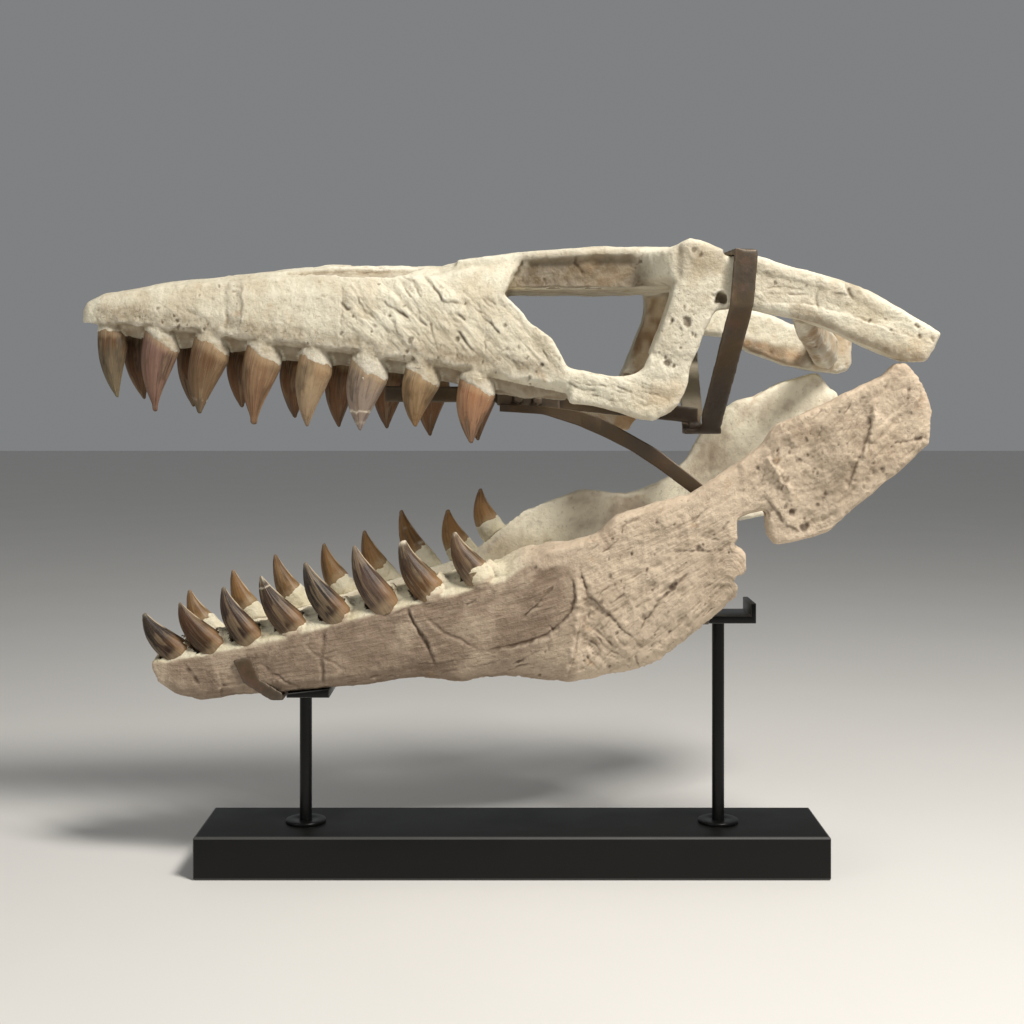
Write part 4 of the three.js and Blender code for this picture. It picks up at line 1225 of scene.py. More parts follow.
def colour_jaw(skin, side, top):
    """The dentary is pinkish grey below a paler edge; behind the curved step the bone is pale. The dentary's
    darker grey is partly its colour and partly painted shadow of the skull above it.
    """
    x, _, z = skin.co.T
    wander = 3 * noise(skin.co, 16, 305)
    skin.paint("pale", 0.7 * ramp(x + 2 * wander, 34, 84) + 0.3 * ramp(x + wander, 66, 71))
    tint(skin, side, "pale", 0.6, DENTARY_CORNER, 12)
    centre = zone(skin, side, HINGE_CENTRE, 14) * ramp(fractal(skin.co, 16, 308, 4), -0.7, 0.3)
    skin.paint("brown", 0.42 * centre)
    skin.paint("porous", 1.2 * centre)
    skin.paint("pale", 0.8 * ramp(z - top(x) + wander, -8, -1))
    bent = skin.co + 9 * noise(skin.co, 20, 307)[:, None]
    skin.paint("pale", 0.4 * ramp(fractal(bent, 40, 306, 4), 0, 0.9))
    skin.paint("pale", 0.6 * (1 - ramp(x + wander, -398, -380)))


for side, seed in (("left", 400), ("right", 500)):
    sculpt_jaw(jaws[side], SIDE[side], seed)
    colour_jaw(jaws[side], SIDE[side], JAW_TOP[side])
    ledge(jaws[side], SIDE[side], JAW_LEDGES)
carve(jaw_left, -1, SURANGULAR_RIDGES + ARTICULAR_RIDGES, mask=None, lift=True)
carve(jaw_left, -1, DENTARY_BREAKS + SURANGULAR_BREAKS + ARTICULAR_GROOVES)
dig(jaw_left, -1, SURANGULAR_PITS + ARTICULAR_PITS, 0.5)
bite(jaw_left, -1, [(243, 341, 7, -7, 2), (238, 378, 8, -3, 0), (262, 352, 4, 2, 0)])


# %% Plaster gums
def plaster_gum(skin, top):
    """The cream plaster in which the lower teeth are set."""
    x, _, z = skin.co.T
    edge = top(x) + 1.5 * noise(skin.co, 14, 601)
    level = ramp(skin.no[:, 2], 0.1, 0.5) * (1 - ramp(x, -20, 30))
    skin.paint("plaster", level * ramp(z - edge, -9, -3))


for side, seed in (("left", 620), ("right", 640)):
    plaster_gum(jaws[side], JAW_TOP[side])
    jaws[side].normals()
    weather(jaws[side], swell=0.9, rough=0.4, chip=1.6, seed=seed)
    print(side, "half of the jaw worn,", len(jaws[side].co), "points")

# %% [markdown]
# ## Cutting the skin into bones
#
# A point of the skin belongs to the bone whose solid is nearest. Each bone becomes a piece of
# its own, but keeps the shading directions of the whole skin, so plastered joints don't show as
# lines. The skin that runs on up a crown past its collar is cut away inside the enamel.


# %% Cut a skin into pieces
def mask_relief(skin):
    """Masks what lies low, for painted shade, and what stands out, for painted highlights. Stained places
    get little of the highlight, so they stay dark.
    """
    near, far = skin.relief(5), skin.relief(28)
    skin.masks["hollow"] = np.clip(-near / 1.1 - far / 4.0, 0, 1)
    skin.masks["proud"] = np.clip(near / 1.1 + far / 8.0, 0, 1)
    for mask in ("brown", "ochre"):
        if mask in skin.masks:
            skin.masks["proud"] *= 1 - 0.9 * np.clip(skin.masks[mask], 0, 1)


def cut_pieces(skin, ending, material):
    skin.normals()
    mask_relief(skin)
    count = len(skin.mesh.polygons)
    middle = column(skin.mesh.polygons, "center", 3 * count).reshape(-1, 3)
    owner = np.array([skin.owner[skin.tree.find_nearest(Vector(m))[2]] for m in middle])
    starts = column(skin.mesh.polygons, "loop_start", count, np.int32)
    sizes = column(skin.mesh.polygons, "loop_total", count, np.int32)
    corners = column(skin.mesh.loops, "vertex_index", len(skin.mesh.loops), np.int32)
    corner_face = np.repeat(np.arange(count), sizes)
    kept = np.logical_and.reduceat(~skin.hidden[corners], starts)
    pieces = []
    for index, name in enumerate(skin.names):
        mine = kept & (owner == index)
        loops = corners[mine[corner_face]]
        used, renamed = np.unique(loops, return_inverse=True)
        faces = np.split(renamed, np.cumsum(sizes[mine])[:-1])
        masks = {mask: values[used] for mask, values in skin.masks.items()}
        mesh = new_mesh(name, skin.co[used], [f.tolist() for f in faces], masks)
        mesh.shade_smooth()
        mesh.normals_split_custom_set_from_vertices(skin.no[used].tolist())
        mesh.materials.append(material)
        piece = place_piece(f"{name}_{ending}", mesh)
        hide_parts(name)
        pieces.append(piece)
        print(name, len(mesh.polygons), "faces")
    return pieces


# %% [markdown]
# ## Finishes
#
# Every finish is worked out from the place on the object and from the masks painted while
# sculpting, so it needs no unwrapping and looks right from every side. The effects that several
# finishes share are node groups. Each group gives out a colour, a mask or a height, and each
# material feeds them to its own shader.


# %% Small helpers for node trees
def srgb(*levels):
    """Paint-chart values (0 to 255) as the linear light that Blender works in."""
    share = np.asarray(levels) / 255
    return np.where(share < 0.04045, share / 12.92, ((share + 0.055) / 1.055) ** 2.4)


def feed(tree, socket, value):
    """Links a socket to another node's output, or sets it to a number, colour or vector."""
    if isinstance(value, bpy.types.NodeSocket):
        tree.links.new(value, socket)
    elif isinstance(value, (int, float)):
        socket.default_value = value
    else:
        size = len(socket.default_value)
        socket.default_value = (*value[:3], 1) if size == 4 else tuple(value)


def maths(tree, operation, *values, clamp=False):
    node = tree.nodes.new("ShaderNodeMath")
    node.operation = operation
    node.use_clamp = clamp
    for socket, value in zip(node.inputs, values):
        feed(tree, socket, value)
    return node.outputs[0]


def times(tree, a, b):
    return maths(tree, "MULTIPLY", a, b)


def scaled(tree, value, gain, offset):
    return maths(tree, "MULTIPLY_ADD", value, gain, offset)


def rest_of(tree, value):
    """What is left of one, and never less than nothing."""
    return maths(tree, "SUBTRACT", 1.0, value, clamp=True)


def step(tree, value, low, high):
    """A soft step of a value from 0 at low to 1 at high."""
    node = tree.nodes.new("ShaderNodeMapRange")
    node.interpolation_type = "SMOOTHSTEP"
    for socket, v in zip(node.inputs, (value, low, high, 0.0, 1.0)):
        feed(tree, socket, v)
    return node.outputs[0]


def blend(tree, share, a, b, how="MIX"):
    """Colour a with its share of colour b over it."""
    node = tree.nodes.new("ShaderNodeMix")
    node.data_type = "RGBA"
    node.blend_type = how
    for index, value in ((0, share), (6, a), (7, b)):
        feed(tree, node.inputs[index], value)
    return node.outputs[2]


def washed(tree, colour, mask, strength, wash):
    """A colour with a wash of another over it where a mask says so."""
    return blend(tree, times(tree, mask, strength), colour, wash)


def stretch(tree, vector, scale):
    node = tree.nodes.new("ShaderNodeVectorMath")
    node.operation = "MULTIPLY"
    feed(tree, node.inputs[0], vector)
    feed(tree, node.inputs[1], scale)
    return node.outputs[0]


def cloud(tree, vector, scale, detail=3.0, roughness=0.55, warp=0.0):
    """Blender's own noise, from 0 to 1."""
    node = tree.nodes.new("ShaderNodeTexNoise")
    feed(tree, node.inputs["Vector"], vector)
    node.inputs["Scale"].default_value = scale
    node.inputs["Detail"].default_value = detail
    node.inputs["Roughness"].default_value = roughness
    node.inputs["Distortion"].default_value = warp
    return node.outputs["Fac"]


def painted(tree, name, output="Fac"):
    """A mask or colour stored at the mesh's points."""
    node = tree.nodes.new("ShaderNodeAttribute")
    node.attribute_name = name
    return node.outputs[output]


def combined(tree, *values):
    node = tree.nodes.new("ShaderNodeCombineXYZ")
    for socket, value in zip(node.inputs, values):
        feed(tree, socket, value)
    return node.outputs[0]


# %% Materials and groups
def new_material(name):
    """A material with its node tree, its shader and the place on the object."""
    material = bpy.data.materials.new(name)
    material.use_nodes = True
    tree = material.node_tree
    place = tree.nodes.new("ShaderNodeTexCoord").outputs["Object"]
    return material, tree, tree.nodes["Principled BSDF"], place


def finish(tree, shader, colour, roughness, height, strength, distance):
    """Feeds the three things that every finish here has: colour, roughness and a fine bump."""
    bump = tree.nodes.new("ShaderNodeBump")
    bump.inputs["Strength"].default_value = strength
    bump.inputs["Distance"].default_value = distance
    feed(tree, bump.inputs["Height"], height)
    feed(tree, shader.inputs["Base Color"], colour)
    feed(tree, shader.inputs["Roughness"], roughness)
    feed(tree, shader.inputs["Normal"], bump.outputs["Normal"])


def new_group(name, inputs, outputs):
    """An empty node group. Its sockets are given as name=kind, with _ for a space."""
    group = bpy.data.node_groups.new(name, "ShaderNodeTree")
    for direction, sockets in (("INPUT", inputs), ("OUTPUT", outputs)):
        for socket, kind in sockets.items():
            group.interface.new_socket(socket.replace("_", " "), in_out=direction,
                socket_type=f"NodeSocket{kind}")
    return group, group.nodes.new("NodeGroupInput").outputs, group.nodes.new("NodeGroupOutput").inputs


def use_group(tree, group, **values):
    """Places a group in a tree with its own values, with _ for a space in the names."""
    node = tree.nodes.new("ShaderNodeGroup")
    node.node_tree = group
    for name, value in values.items():
        feed(tree, node.inputs[name.replace("_", " ")], value)
    return node.outputs


# %% [markdown]
# ### Shared effects
#
# ** Mottle** breaks a colour up into soft patches and small specks. **Pores** are the open cells of dry bone: little round pits, thick in some places and missing in others, whose mask the bone darkens as painted shade. **Fibres** are the bone's grain, fine and long. **Relief shading** paints shade into hollows and highlights onto whatever stands proud.


# %% Mottle
def make_mottle():
    g, given, out = new_group("mottle", dict(Vector="Vector", Colour="Color", Patch_Colour="Color",
        Speck_Colour="Color", Patches="Float", Specks="Float"), dict(Colour="Color"))
    patches = step(g, cloud(g, given["Vector"], 16, 4, 0.6, 0.4), 0.42, 0.66)
    specks = step(g, cloud(g, given["Vector"], 210, 3, 0.6), 0.56, 0.74)
    colour = washed(g, given["Colour"], patches, given["Patches"], given["Patch Colour"])
    feed(g, out["Colour"], washed(g, colour, specks, given["Specks"], given["Speck Colour"]))
    return g


# %% Pores
def warped(tree, vector, scale, reach):
    """A vector pushed about by noise, so that no cell comes out round or straight."""
    node = tree.nodes.new("ShaderNodeTexNoise")
    feed(tree, node.inputs["Vector"], vector)
    node.inputs["Scale"].default_value = scale
    node.inputs["Detail"].default_value = 2
    shift = tree.nodes.new("ShaderNodeVectorMath")
    shift.operation = "MULTIPLY_ADD"
    feed(tree, shift.inputs[0], node.outputs["Color"])
    feed(tree, shift.inputs[1], (reach, reach, reach))
    feed(tree, shift.inputs[2], vector)
    return shift.outputs[0]


def make_pores():
    g, given, out = new_group("pores", dict(Vector="Vector", Amount="Float"),
        dict(Height="Float", Mask="Float"))
    rough = warped(g, given["Vector"], 420, 0.004)
    pits = []
    for scale, size in ((300, 0.30), (720, 0.36)):
        cells = g.nodes.new("ShaderNodeTexVoronoi")
        feed(g, cells.inputs["Vector"], rough)
        cells.inputs["Scale"].default_value = scale
        here = step(g, cloud(g, given["Vector"], scale / 7, 3), 0.46, 0.66)
        pits.append(times(g, rest_of(g, step(g, cells.outputs["Distance"], 0.02, size)), here))
    mask = maths(g, "MULTIPLY", maths(g, "MAXIMUM", *pits), given["Amount"], clamp=True)
    feed(g, out["Mask"], mask)
    feed(g, out["Height"], times(g, mask, -1.0))
    return g


# %% Fibres
def make_fibres():
    g, given, out = new_group("fibres", dict(Vector="Vector", Amount="Float"),
        dict(Height="Float", Mask="Float"))
    fine = cloud(g, stretch(g, given["Vector"], (0.06, 1, 1)), 620, 3, 0.6)
    broad = cloud(g, stretch(g, given["Vector"], (0.1, 1, 1)), 190, 2, 0.5, 0.3)
    both = maths(g, "ADD", times(g, fine, 0.5), times(g, broad, 0.5))
    dark = rest_of(g, step(g, both, 0.36, 0.5))
    feed(g, out["Height"], times(g, both, given["Amount"]))
    feed(g, out["Mask"], maths(g, "MULTIPLY", dark, given["Amount"], clamp=True))
    return g


# %% Relief shading: painted shade in hollows, painted highlights on ridges
def make_relief_shading():
    g, given, out = new_group("relief_shading", dict(Colour="Color", Hollow_Colour="Color", Proud_Colour="Color",
        Hollow="Float", Proud="Float"), dict(Colour="Color"))
    colour = washed(g, given["Colour"], given["Hollow"], 0.75, given["Hollow Colour"])
    feed(g, out["Colour"], washed(g, colour, given["Proud"], 0.55, given["Proud Colour"]))
    return g


# %% Put the shared effects to use
mottle, pores, fibres, relief_shading = make_mottle(), make_pores(), make_fibres(), make_relief_shading()


def mottled(tree, place, colour, patch, speck, patches, specks):
    return use_group(tree, mottle, Vector=place, Colour=colour, Patch_Colour=patch, Speck_Colour=speck,
        Patches=patches, Specks=specks)["Colour"]


# paints shade into the skin's hollows and highlights onto what stands out
def worn(tree, colour, hollow, proud):
    return use_group(tree, relief_shading, Colour=colour, Hollow_Colour=hollow, Proud_Colour=proud,
        Hollow=painted(tree, "hollow"), Proud=painted(tree, "proud"))["Colour"]


print("shared effects:", [g.name for g in bpy.data.node_groups])


# %% [markdown]
# ### Fossil bone
#
# The skull's bone is a warm cream and the jaw's a pinkish grey, but they are one material with two palettes,
# and a lighter copy of the jaw's for its far half that is partly painted light: mottled ground, brown where
# it was stained and where shade is painted, ochre where iron reached it, grey and pitted where the pores are
# open, cream where it is plaster, painted shade in its cracks, pits and pores, painted shade in its hollows
# and painted highlights where it stands proud.


# %% Bone
def bone_material(name, tones, rusty, grain_vector, grain_amount):
    material, tree, shader, place = new_material(name)
    pale, plaster = painted(tree, "pale"), painted(tree, "plaster")
    patchy = step(tree, cloud(tree, place, 60, 3), 0.4, 0.62)

    def in_patches(mask, gain, offset):
        return times(tree, painted(tree, mask), scaled(tree, patchy, gain, offset))

    colour = mottled(tree, place, blend(tree, pale, tones["ground"], tones["pale"]),
        blend(tree, pale, tones["patch"], tones["pale_patch"]), tones["speck"], 0.85, 0.45)
    crazed = scaled(tree, painted(tree, "crazed"), 0.8 * grain_amount, 0.2 * grain_amount)
    grain = use_group(tree, fibres, Vector=grain_vector(tree, place),
        Amount=times(tree, rest_of(tree, plaster), crazed))
    colour = washed(tree, colour, grain["Mask"], 0.32, tones["grain"])
    colour = blend(tree, in_patches("porous", 0.4, 0.15), colour, tones["porous"])
    # stain and brown: real stains, and painted shade where those masks were laid for shade
    colour = blend(tree, in_patches("stain", 0.3, 0.65), colour, tones["stain"])
    colour = blend(tree, in_patches("brown", 0.15, 0.85), colour,
        mottled(tree, place, tones["brown"], tones["stain"], tones["speck"], 0.7, 0.5))
    rust = times(tree, step(tree, cloud(tree, place, 34, 4, 0.65, 0.3), 0.62, 0.74), rusty)
    ochre = maths(tree, "MAXIMUM", painted(tree, "ochre"), rust)
    colour = washed(tree, colour, ochre, 0.7, tones["ochre"])
    colour = blend(tree, plaster, colour, mottled(tree, place, tones["plaster"], tones["plaster_patch"],
        tones["speck"], 0.9, 0.4))
    # painted shade in the hollows and painted highlights on the ridges
    colour = worn(tree, colour, tones["hollow"], tones["proud"])
    cells = use_group(tree, pores, Vector=place, Amount=scaled(tree, painted(tree, "porous"), 0.75, 0.25))
    # painted shade in the open pores, and in the cracks, pits and slot
    colour = washed(tree, colour, cells["Mask"], 0.6, tones["crack"])
    colour = washed(tree, colour, painted(tree, "crack"), 0.75, tones["crack"])
    height = maths(tree, "ADD", times(tree, cells["Height"], 0.9), times(tree, grain["Height"], 1.8))
    height = maths(tree, "ADD", height, times(tree, cloud(tree, place, 120, 6, 0.65), 2.2))
    finish(tree, shader, colour, scaled(tree, patchy, 0.14, 0.7), height, 0.8, 0.0014)
    return material


# %% Which way the grain runs
def grain_along_skull(tree, place):
    """Down and back: the cheek's bone split that way."""
    turned = tree.nodes.new("ShaderNodeVectorRotate")
    turned.rotation_type = "Y_AXIS"
    feed(tree, turned.inputs["Vector"], place)
    turned.inputs["Angle"].default_value = math.radians(CHEEK_GRAIN)
    return turned.outputs[0]


def grain_along_jaw(tree, place):
    axes = tree.nodes.new("ShaderNodeSeparateXYZ")
    feed(tree, axes.inputs[0], place)
    return combined(tree, painted(tree, "run"), axes.outputs[1], painted(tree, "rise"))


# %% Three bones
def palette(**tones):
    return {part: srgb(*tone) for part, tone in tones.items()}


CREAM = palette(ground=(219, 212, 190), patch=(196, 184, 158), speck=(150, 132, 100), grain=(150, 134, 106),
    porous=(176, 166, 146), stain=(124, 100, 68), brown=(86, 68, 45), ochre=(176, 124, 58),
    plaster=(190, 182, 164), plaster_patch=(158, 144, 118), crack=(74, 60, 44),
    hollow=(112, 94, 68), proud=(240, 235, 220), pale=(219, 212, 190), pale_patch=(196, 184, 158))
# the jaw's darker ground is partly painted shadow of the skull above the dentary
PINK_GREY = palette(ground=(139, 120, 101), patch=(125, 106, 88), speck=(112, 92, 70), grain=(104, 84, 64),
    porous=(190, 174, 150), stain=(124, 98, 68), brown=(86, 68, 45), ochre=(176, 124, 62),
    plaster=(218, 210, 184), plaster_patch=(202, 190, 156), crack=(62, 48, 36),
    hollow=(98, 78, 58), proud=(206, 188, 164), pale=(206, 187, 163), pale_patch=(180, 160, 137))
# a lighter copy of the jaw's palette for its far half: partly paler bone, partly painted light on its inner
# face
FAR_CREAM_LIT = PINK_GREY | palette(ground=(240, 230, 202), patch=(212, 193, 156), speck=(150, 126, 88),
    pale=(244, 235, 210), proud=(240, 233, 212))
skull_bone = bone_material("skull bone", CREAM, 0.45, grain_along_skull, 0.8)
jaw_bone = bone_material("jaw bone", PINK_GREY, 0.4, grain_along_jaw, 1.0)
far_jaw_bone_lit = bone_material("far jaw bone", FAR_CREAM_LIT, 0.4, grain_along_jaw, 0.6)

# %% Cut the three skins into bones
bones = cut_pieces(upper, "bone", skull_bone)
bones += cut_pieces(jaw_left, "bone", jaw_bone)
bones += cut_pieces(jaw_right, "bone", far_jaw_bone_lit)
print("bones:", len(bones), "faces:", sum(len(b.data.polygons) for b in bones))

# %% [markdown]
# ## Teeth
#
# A mosasaur's crown is a stout, slightly flattened cone that curves back to a worn point. Its
# enamel is brown from the phosphate it lay in, finely fluted, and darker or paler at the tip.
# Each crown is a grid of rings wrapped round its own bent middle line, so flutes, growth lines
# and the cutting edges are all small changes of radius. The rings also carry their height and
# direction to the material, which draws its streaks along the crown with them.

# %% Colours of enamel, from foot to middle to tip
OLIVE = ((128, 92, 58), (150, 132, 102), (156, 140, 104))
ROSY = ((168, 128, 112), (172, 132, 112), (150, 108, 88))
TAN = ((134, 96, 62), (152, 120, 86), (124, 108, 82))
RIBBED = ((172, 134, 98), (160, 120, 86), (150, 112, 80))
PALE = ((184, 150, 110), (196, 168, 132), (160, 132, 104))
MAUVE = ((186, 160, 132), (178, 158, 142), (154, 138, 132))
OCHRE = ((190, 158, 118), (160, 128, 88), (150, 112, 66))
AMBER = ((186, 134, 96), (180, 134, 100), (150, 116, 92))
ORANGE = ((104, 72, 42), (138, 92, 50), (120, 86, 54))
SMOKED = ((92, 54, 28), (82, 60, 40), (98, 96, 78))
UMBER = ((112, 74, 32), (132, 84, 44), (112, 84, 62))
WALNUT = ((84, 54, 34), (104, 76, 62), (128, 104, 88))
STRIPED = ((124, 92, 62), (98, 70, 48), (160, 140, 108))
SLATE = ((96, 68, 50), (68, 54, 48), (110, 102, 94))
PLUM = ((140, 112, 96), (112, 84, 72), (136, 116, 106))
CARAMEL = ((150, 106, 58), (112, 80, 54), (150, 136, 112))
HONEY = ((150, 124, 98), (142, 106, 74), (156, 124, 96))
GOLD = ((186, 152, 100), (176, 130, 74), (156, 112, 68))
# the colours, the number of flutes and their depth
ENAMELS = {
    "upper_left": [
        (OLIVE, 16, 0.10), (ROSY, 20, 0.16), (TAN, 18, 0.08), (RIBBED, 22, 0.34),
        (PALE, 16, 0.06), (MAUVE, 24, 0.08), (OCHRE, 18, 0.14), (AMBER, 20, 0.14),
    ],
    "upper_right": [(ORANGE, 20, 0.14)] * 8,
    "lower_left": [
        (SMOKED, 16, 0.10), (UMBER, 16, 0.12), (WALNUT, 20, 0.2), (STRIPED, 22, 0.24),
        (SLATE, 22, 0.16), (PLUM, 18, 0.16), (CARAMEL, 16, 0.12), (HONEY, 16, 0.08),
    ],
    "lower_right": [(GOLD, 18, 0.12)] * 8,
}
# where pale chips run round a crown, how wide they are and how strong
CHIPS = {
    "tooth_upper_left_3": [(0.82, 0.008, 0.7)],
    "tooth_upper_left_6": [(0.74, 0.012, 1.0), (0.9, 0.02, 0.3)],
    "tooth_lower_left_4": [(0.8, 0.012, 0.7), (0.95, 0.05, 0.5)],
    "tooth_lower_left_7": [(0.97, 0.04, 0.8)],
    "tooth_lower_left_8": [(0.97, 0.03, 0.5)],
    "tooth_lower_right_6": [(0.7, 0.01, 0.6), (0.45, 0.01, 0.5)],
}


# %% Paint the enamel
def toward(colour, levels, share):
    """Each point's colour moved its own share of the way to another."""
    return colour + (srgb(*levels) - colour) * share[:, None]


def enamel_colour(crown, tones, height, above, streak, patch):
    """Foot, middle and tip colours mixed up the crown, in broken streaks. The enamel is thin and
    pale where it comes out of the collar."""
    foot, middle, tip = tones
    reach = height + 0.3 * (streak - 0.5) + 0.24 * (patch - 0.5)
    colour = np.tile(srgb(*foot), (len(height), 1))
    colour = toward(colour, middle, np.clip((reach - 0.15) / 0.3, 0, 1))
    colour = toward(colour, tip, np.clip((reach - 0.7) / 0.22, 0, 1))
    depth = 0.29 if crown["row"] == "lower" and crown["side"] == "left" else 0.6
    # painted light: each crown further back is a little lighter, as if more light fell on it from the right
    depth = depth * (0.72 + 0.06 * crown["number"])
    dark = ramp(patch, 0.35, 0.75) * ramp(streak, 0.3, 0.6)
    colour = colour * (depth - 0.5 * depth * dark)[:, None]
    # pale streaks, partly pale enamel and partly painted highlights
    colour = toward(colour, (180, 154, 118), 0.22 * ramp(streak, 0.58, 0.8))
    thin = 1 - ramp(above + 0.05 * (streak - 0.5), 0.0, 0.1)
    return toward(colour, (166, 144, 112), 0.45 * thin)


def mark_enamel(crown, colour, height, back, place):
    """A painted highlight runs as a pale line down the back edge of the lower crowns, and a few crowns have
    a chip or healed crack.
    """
    if crown["row"] == "lower":
        # painted highlight along the back edge
        line = ramp(back, 0.93, 0.99) * span(height, 0.45, 0.6, 0.93, 0.99)
        colour = toward(colour, (206, 188, 160), 0.7 * line)
        warm = ramp(back, 0.1, 0.7) * (1 - ramp(height, 0.18, 0.42))
        colour = toward(colour, (146, 106, 64), 0.5 * warm)
        colour = toward(colour, (164, 152, 130), 0.35 * ramp(height, 0.88, 1))
    for at, wide, strength in CHIPS.get(crown["name"], []):
        wave = at + 0.025 * noise(place, 0.5, crown["seed"] + 12)
        broken = ramp(noise(place, 0.6, crown["seed"] + 13), -0.5, 0.1)
        chip = np.exp(-(((height - wave) / wide) ** 2)) * broken
        colour = toward(colour, (226, 214, 192), strength * chip)
    return np.column_stack([colour, np.ones(len(height))])


# %% The shape of a crown
def make_tooth(crown, rings, spokes):
    """A grid of rings and spokes wrapped round the crown's middle line, with its colours."""
    tones, flute_count, flute_depth = ENAMELS[f"{crown['row']}_{crown['side']}"][crown["number"]]
    seed = crown["seed"]
    share = np.concatenate([np.linspace(-0.12, 0.9, rings - 10, endpoint=False),
        0.9 + 0.1 * np.sin(np.linspace(0, math.pi / 2, 10))])
    turn = np.linspace(0, 2 * math.pi, spokes, endpoint=False)
    t, phi = (grid.ravel() for grid in np.meshgrid(share, turn, indexing="ij"))
    back, across = np.cos(phi), np.sin(phi)
    place = np.column_stack([back, across, 3 * t])
    radius = crown_radius(crown, t, back)

    flutes = np.cos(flute_count * phi + 0.9 * noise(place * [1, 1, 0.2], 0.8, seed + 2))
    flutes += 0.6 * noise(place * [1, 1, 0.08], 0.13, seed + 3)
    fade = ramp(t, 0.1, 0.3) * (1 - ramp(t, 0.7, 0.95))
    radius += fade * flute_depth * flutes
    radius += 0.3 * noise(place, 0.7, seed + 4) + 0.07 * noise(place * [0.3, 0.3, 1], 0.1, seed + 5)
    # the cutting edges at front and back
    keel = np.exp(-((across / 0.12) ** 2))
    radius += 0.4 * keel * ramp(t, 0.2, 0.5) * (1 - ramp(t, 0.88, 0.97))
    # the foot stays inside the collar
    edge = collar_height(crown, back, place, seed)
    radius -= 1.6 * (1 - ramp(t - edge, -0.1, -0.03))
    # the end closes over
    radius *= np.sqrt(np.clip(1 - np.clip((t - 0.965) / 0.035, 0, 1) ** 2, 0, 1)) * 0.97 + 0.03

    points = crown_point(crown, t, radius * back, radius * across)
    faces = grid_faces(rings, spokes)
    faces = turned_over(faces) if crown["row"] == "upper" else faces
    mesh = new_mesh(crown["name"], points, faces, dict(height=t, back=back, across=across))

    streak = 0.5 + 0.5 * fractal(place * [1, 1, 0.3], 0.34, seed + 7, 3, 0.6)
    patch = 0.5 + 0.5 * fractal(place * [1, 1, 0.6], 0.8, seed + 8, 3)
    colour = enamel_colour(crown, tones, t, t - edge, streak, patch)
    colour = mark_enamel(crown, colour, t, back, place)
    layer = mesh.attributes.new("enamel", "FLOAT_COLOR", "POINT")
    layer.data.foreach_set("color", colour.astype(np.float32).ravel())
    mesh.shade_smooth()
    return mesh


# %% Enamel
def enamel_material():
    material, tree, shader, place = new_material("tooth enamel")
    wrapped = combined(tree, *(painted(tree, way) for way in ("back", "across", "height")))
    streaks = cloud(tree, stretch(tree, wrapped, (1, 1, 0.16)), 9, 4, 0.65)
    hairs = cloud(tree, stretch(tree, wrapped, (1, 1, 0.05)), 34, 3, 0.6)
    rings = cloud(tree, stretch(tree, wrapped, (0.12, 0.12, 1)), 26, 3, 0.6)
    colour = painted(tree, "enamel", "Color")
    stains = cloud(tree, place, 110, 4, 0.65, 0.5)
    darker = blend(tree, 1.0, colour, srgb(150, 120, 92), "MULTIPLY")
    layers = [
        (streaks, 0.5, 0.72, 0.45, darker),
        (hairs, 0.52, 0.7, 0.2, srgb(214, 190, 160)),
        (rings, 0.54, 0.66, 0.16, srgb(98, 76, 56)),
        (stains, 0.56, 0.7, 0.3, srgb(86, 62, 44)),
    ]
    for pattern, low, high, strength, wash in layers:
        colour = washed(tree, colour, step(tree, pattern, low, high), strength, wash)
    height = maths(tree, "ADD", times(tree, hairs, 0.6), times(tree, rings, 0.4))
    finish(tree, shader, colour, scaled(tree, streaks, 0.3, 0.32), height, 0.35, 0.0005)
    shader.inputs["Specular IOR Level"].default_value = 0.3
    return material


# %% Set every tooth in its socket
# rings and spokes: the near side is seen from close by
TOOTH_GRID = {"left": (64, 96), "right": (44, 64)}
enamel = enamel_material()
teeth = []
for crown in CROWNS:
    tooth_mesh = make_tooth(crown, *TOOTH_GRID[crown["side"]])
    tooth_mesh.materials.append(enamel)
    teeth.append(place_piece(crown["name"], tooth_mesh))
print("teeth:", len(teeth), "faces:", sum(len(t.data.polygons) for t in teeth))

# %% [markdown]
# ## The iron
#
# A flat iron strap goes over the roof and its legs meet under the skull. From there a bar runs
# forward under the palate, and a curved bar ties it to the jaw. All of it was cut, bent and
# welded by hand and has rusted since. A light remesh gives that: edges lose their sharpness,
# welded pieces run into each other, and the faces get the slight waves of hammered bar.

# %% Hand-worked iron
IRON_PARTS = ("strap_left", "strap_right", "strap_top", "strap_foot", "spine_bar", "post_front",
    "post_rear", "clamp", "front_clip", "front_tie", "jaw_tie", "jaw_ear_left", "jaw_ear_right")


def forge(names, cell):
    """One skin of iron with hammered faces, and masks of where rust lies, where it is darker towards the
    bottom and where its far side is paler.
    """
    iron = Skin(names, cell, 1, masks=("rusted", "low_dark", "far_side_pale"))
    iron.push(0.22 * fractal(iron.co, 14, 801, 3) + 0.08 * noise(iron.co, 3, 802))
    iron.paint("rusted", ramp(fractal(iron.co, 30, 803, 3), -0.2, 0.7))
    x, y, z = iron.co.T
    # darker towards the bottom
    iron.paint("low_dark", ramp(600 - z, 0, 70) * (x > 120) * (y < 20))
    iron.paint("rusted", 0.9 * span(z, 612, 630, 668, 682))
    # paler on the far side
    iron.paint("far_side_pale", ramp(y, 20, 60) * ramp(x, 180, 200) * (1 - ramp(z, 650, 680)))
    iron.paint("rusted", 1.2 * ramp(-x, 230, 250))
    for side in (-1, 1):
        iron.melt((222, side * 20, 500), 12, 40)
        iron.melt((252, side * 140, 692), 9, 25)
        iron.melt((242, side * 138, 632), 11, 14)
    iron.normals()
    return iron


armature = forge([f"armature_{part}" for part in IRON_PARTS], 1.5)
print("iron skin:", len(armature.co), "points")


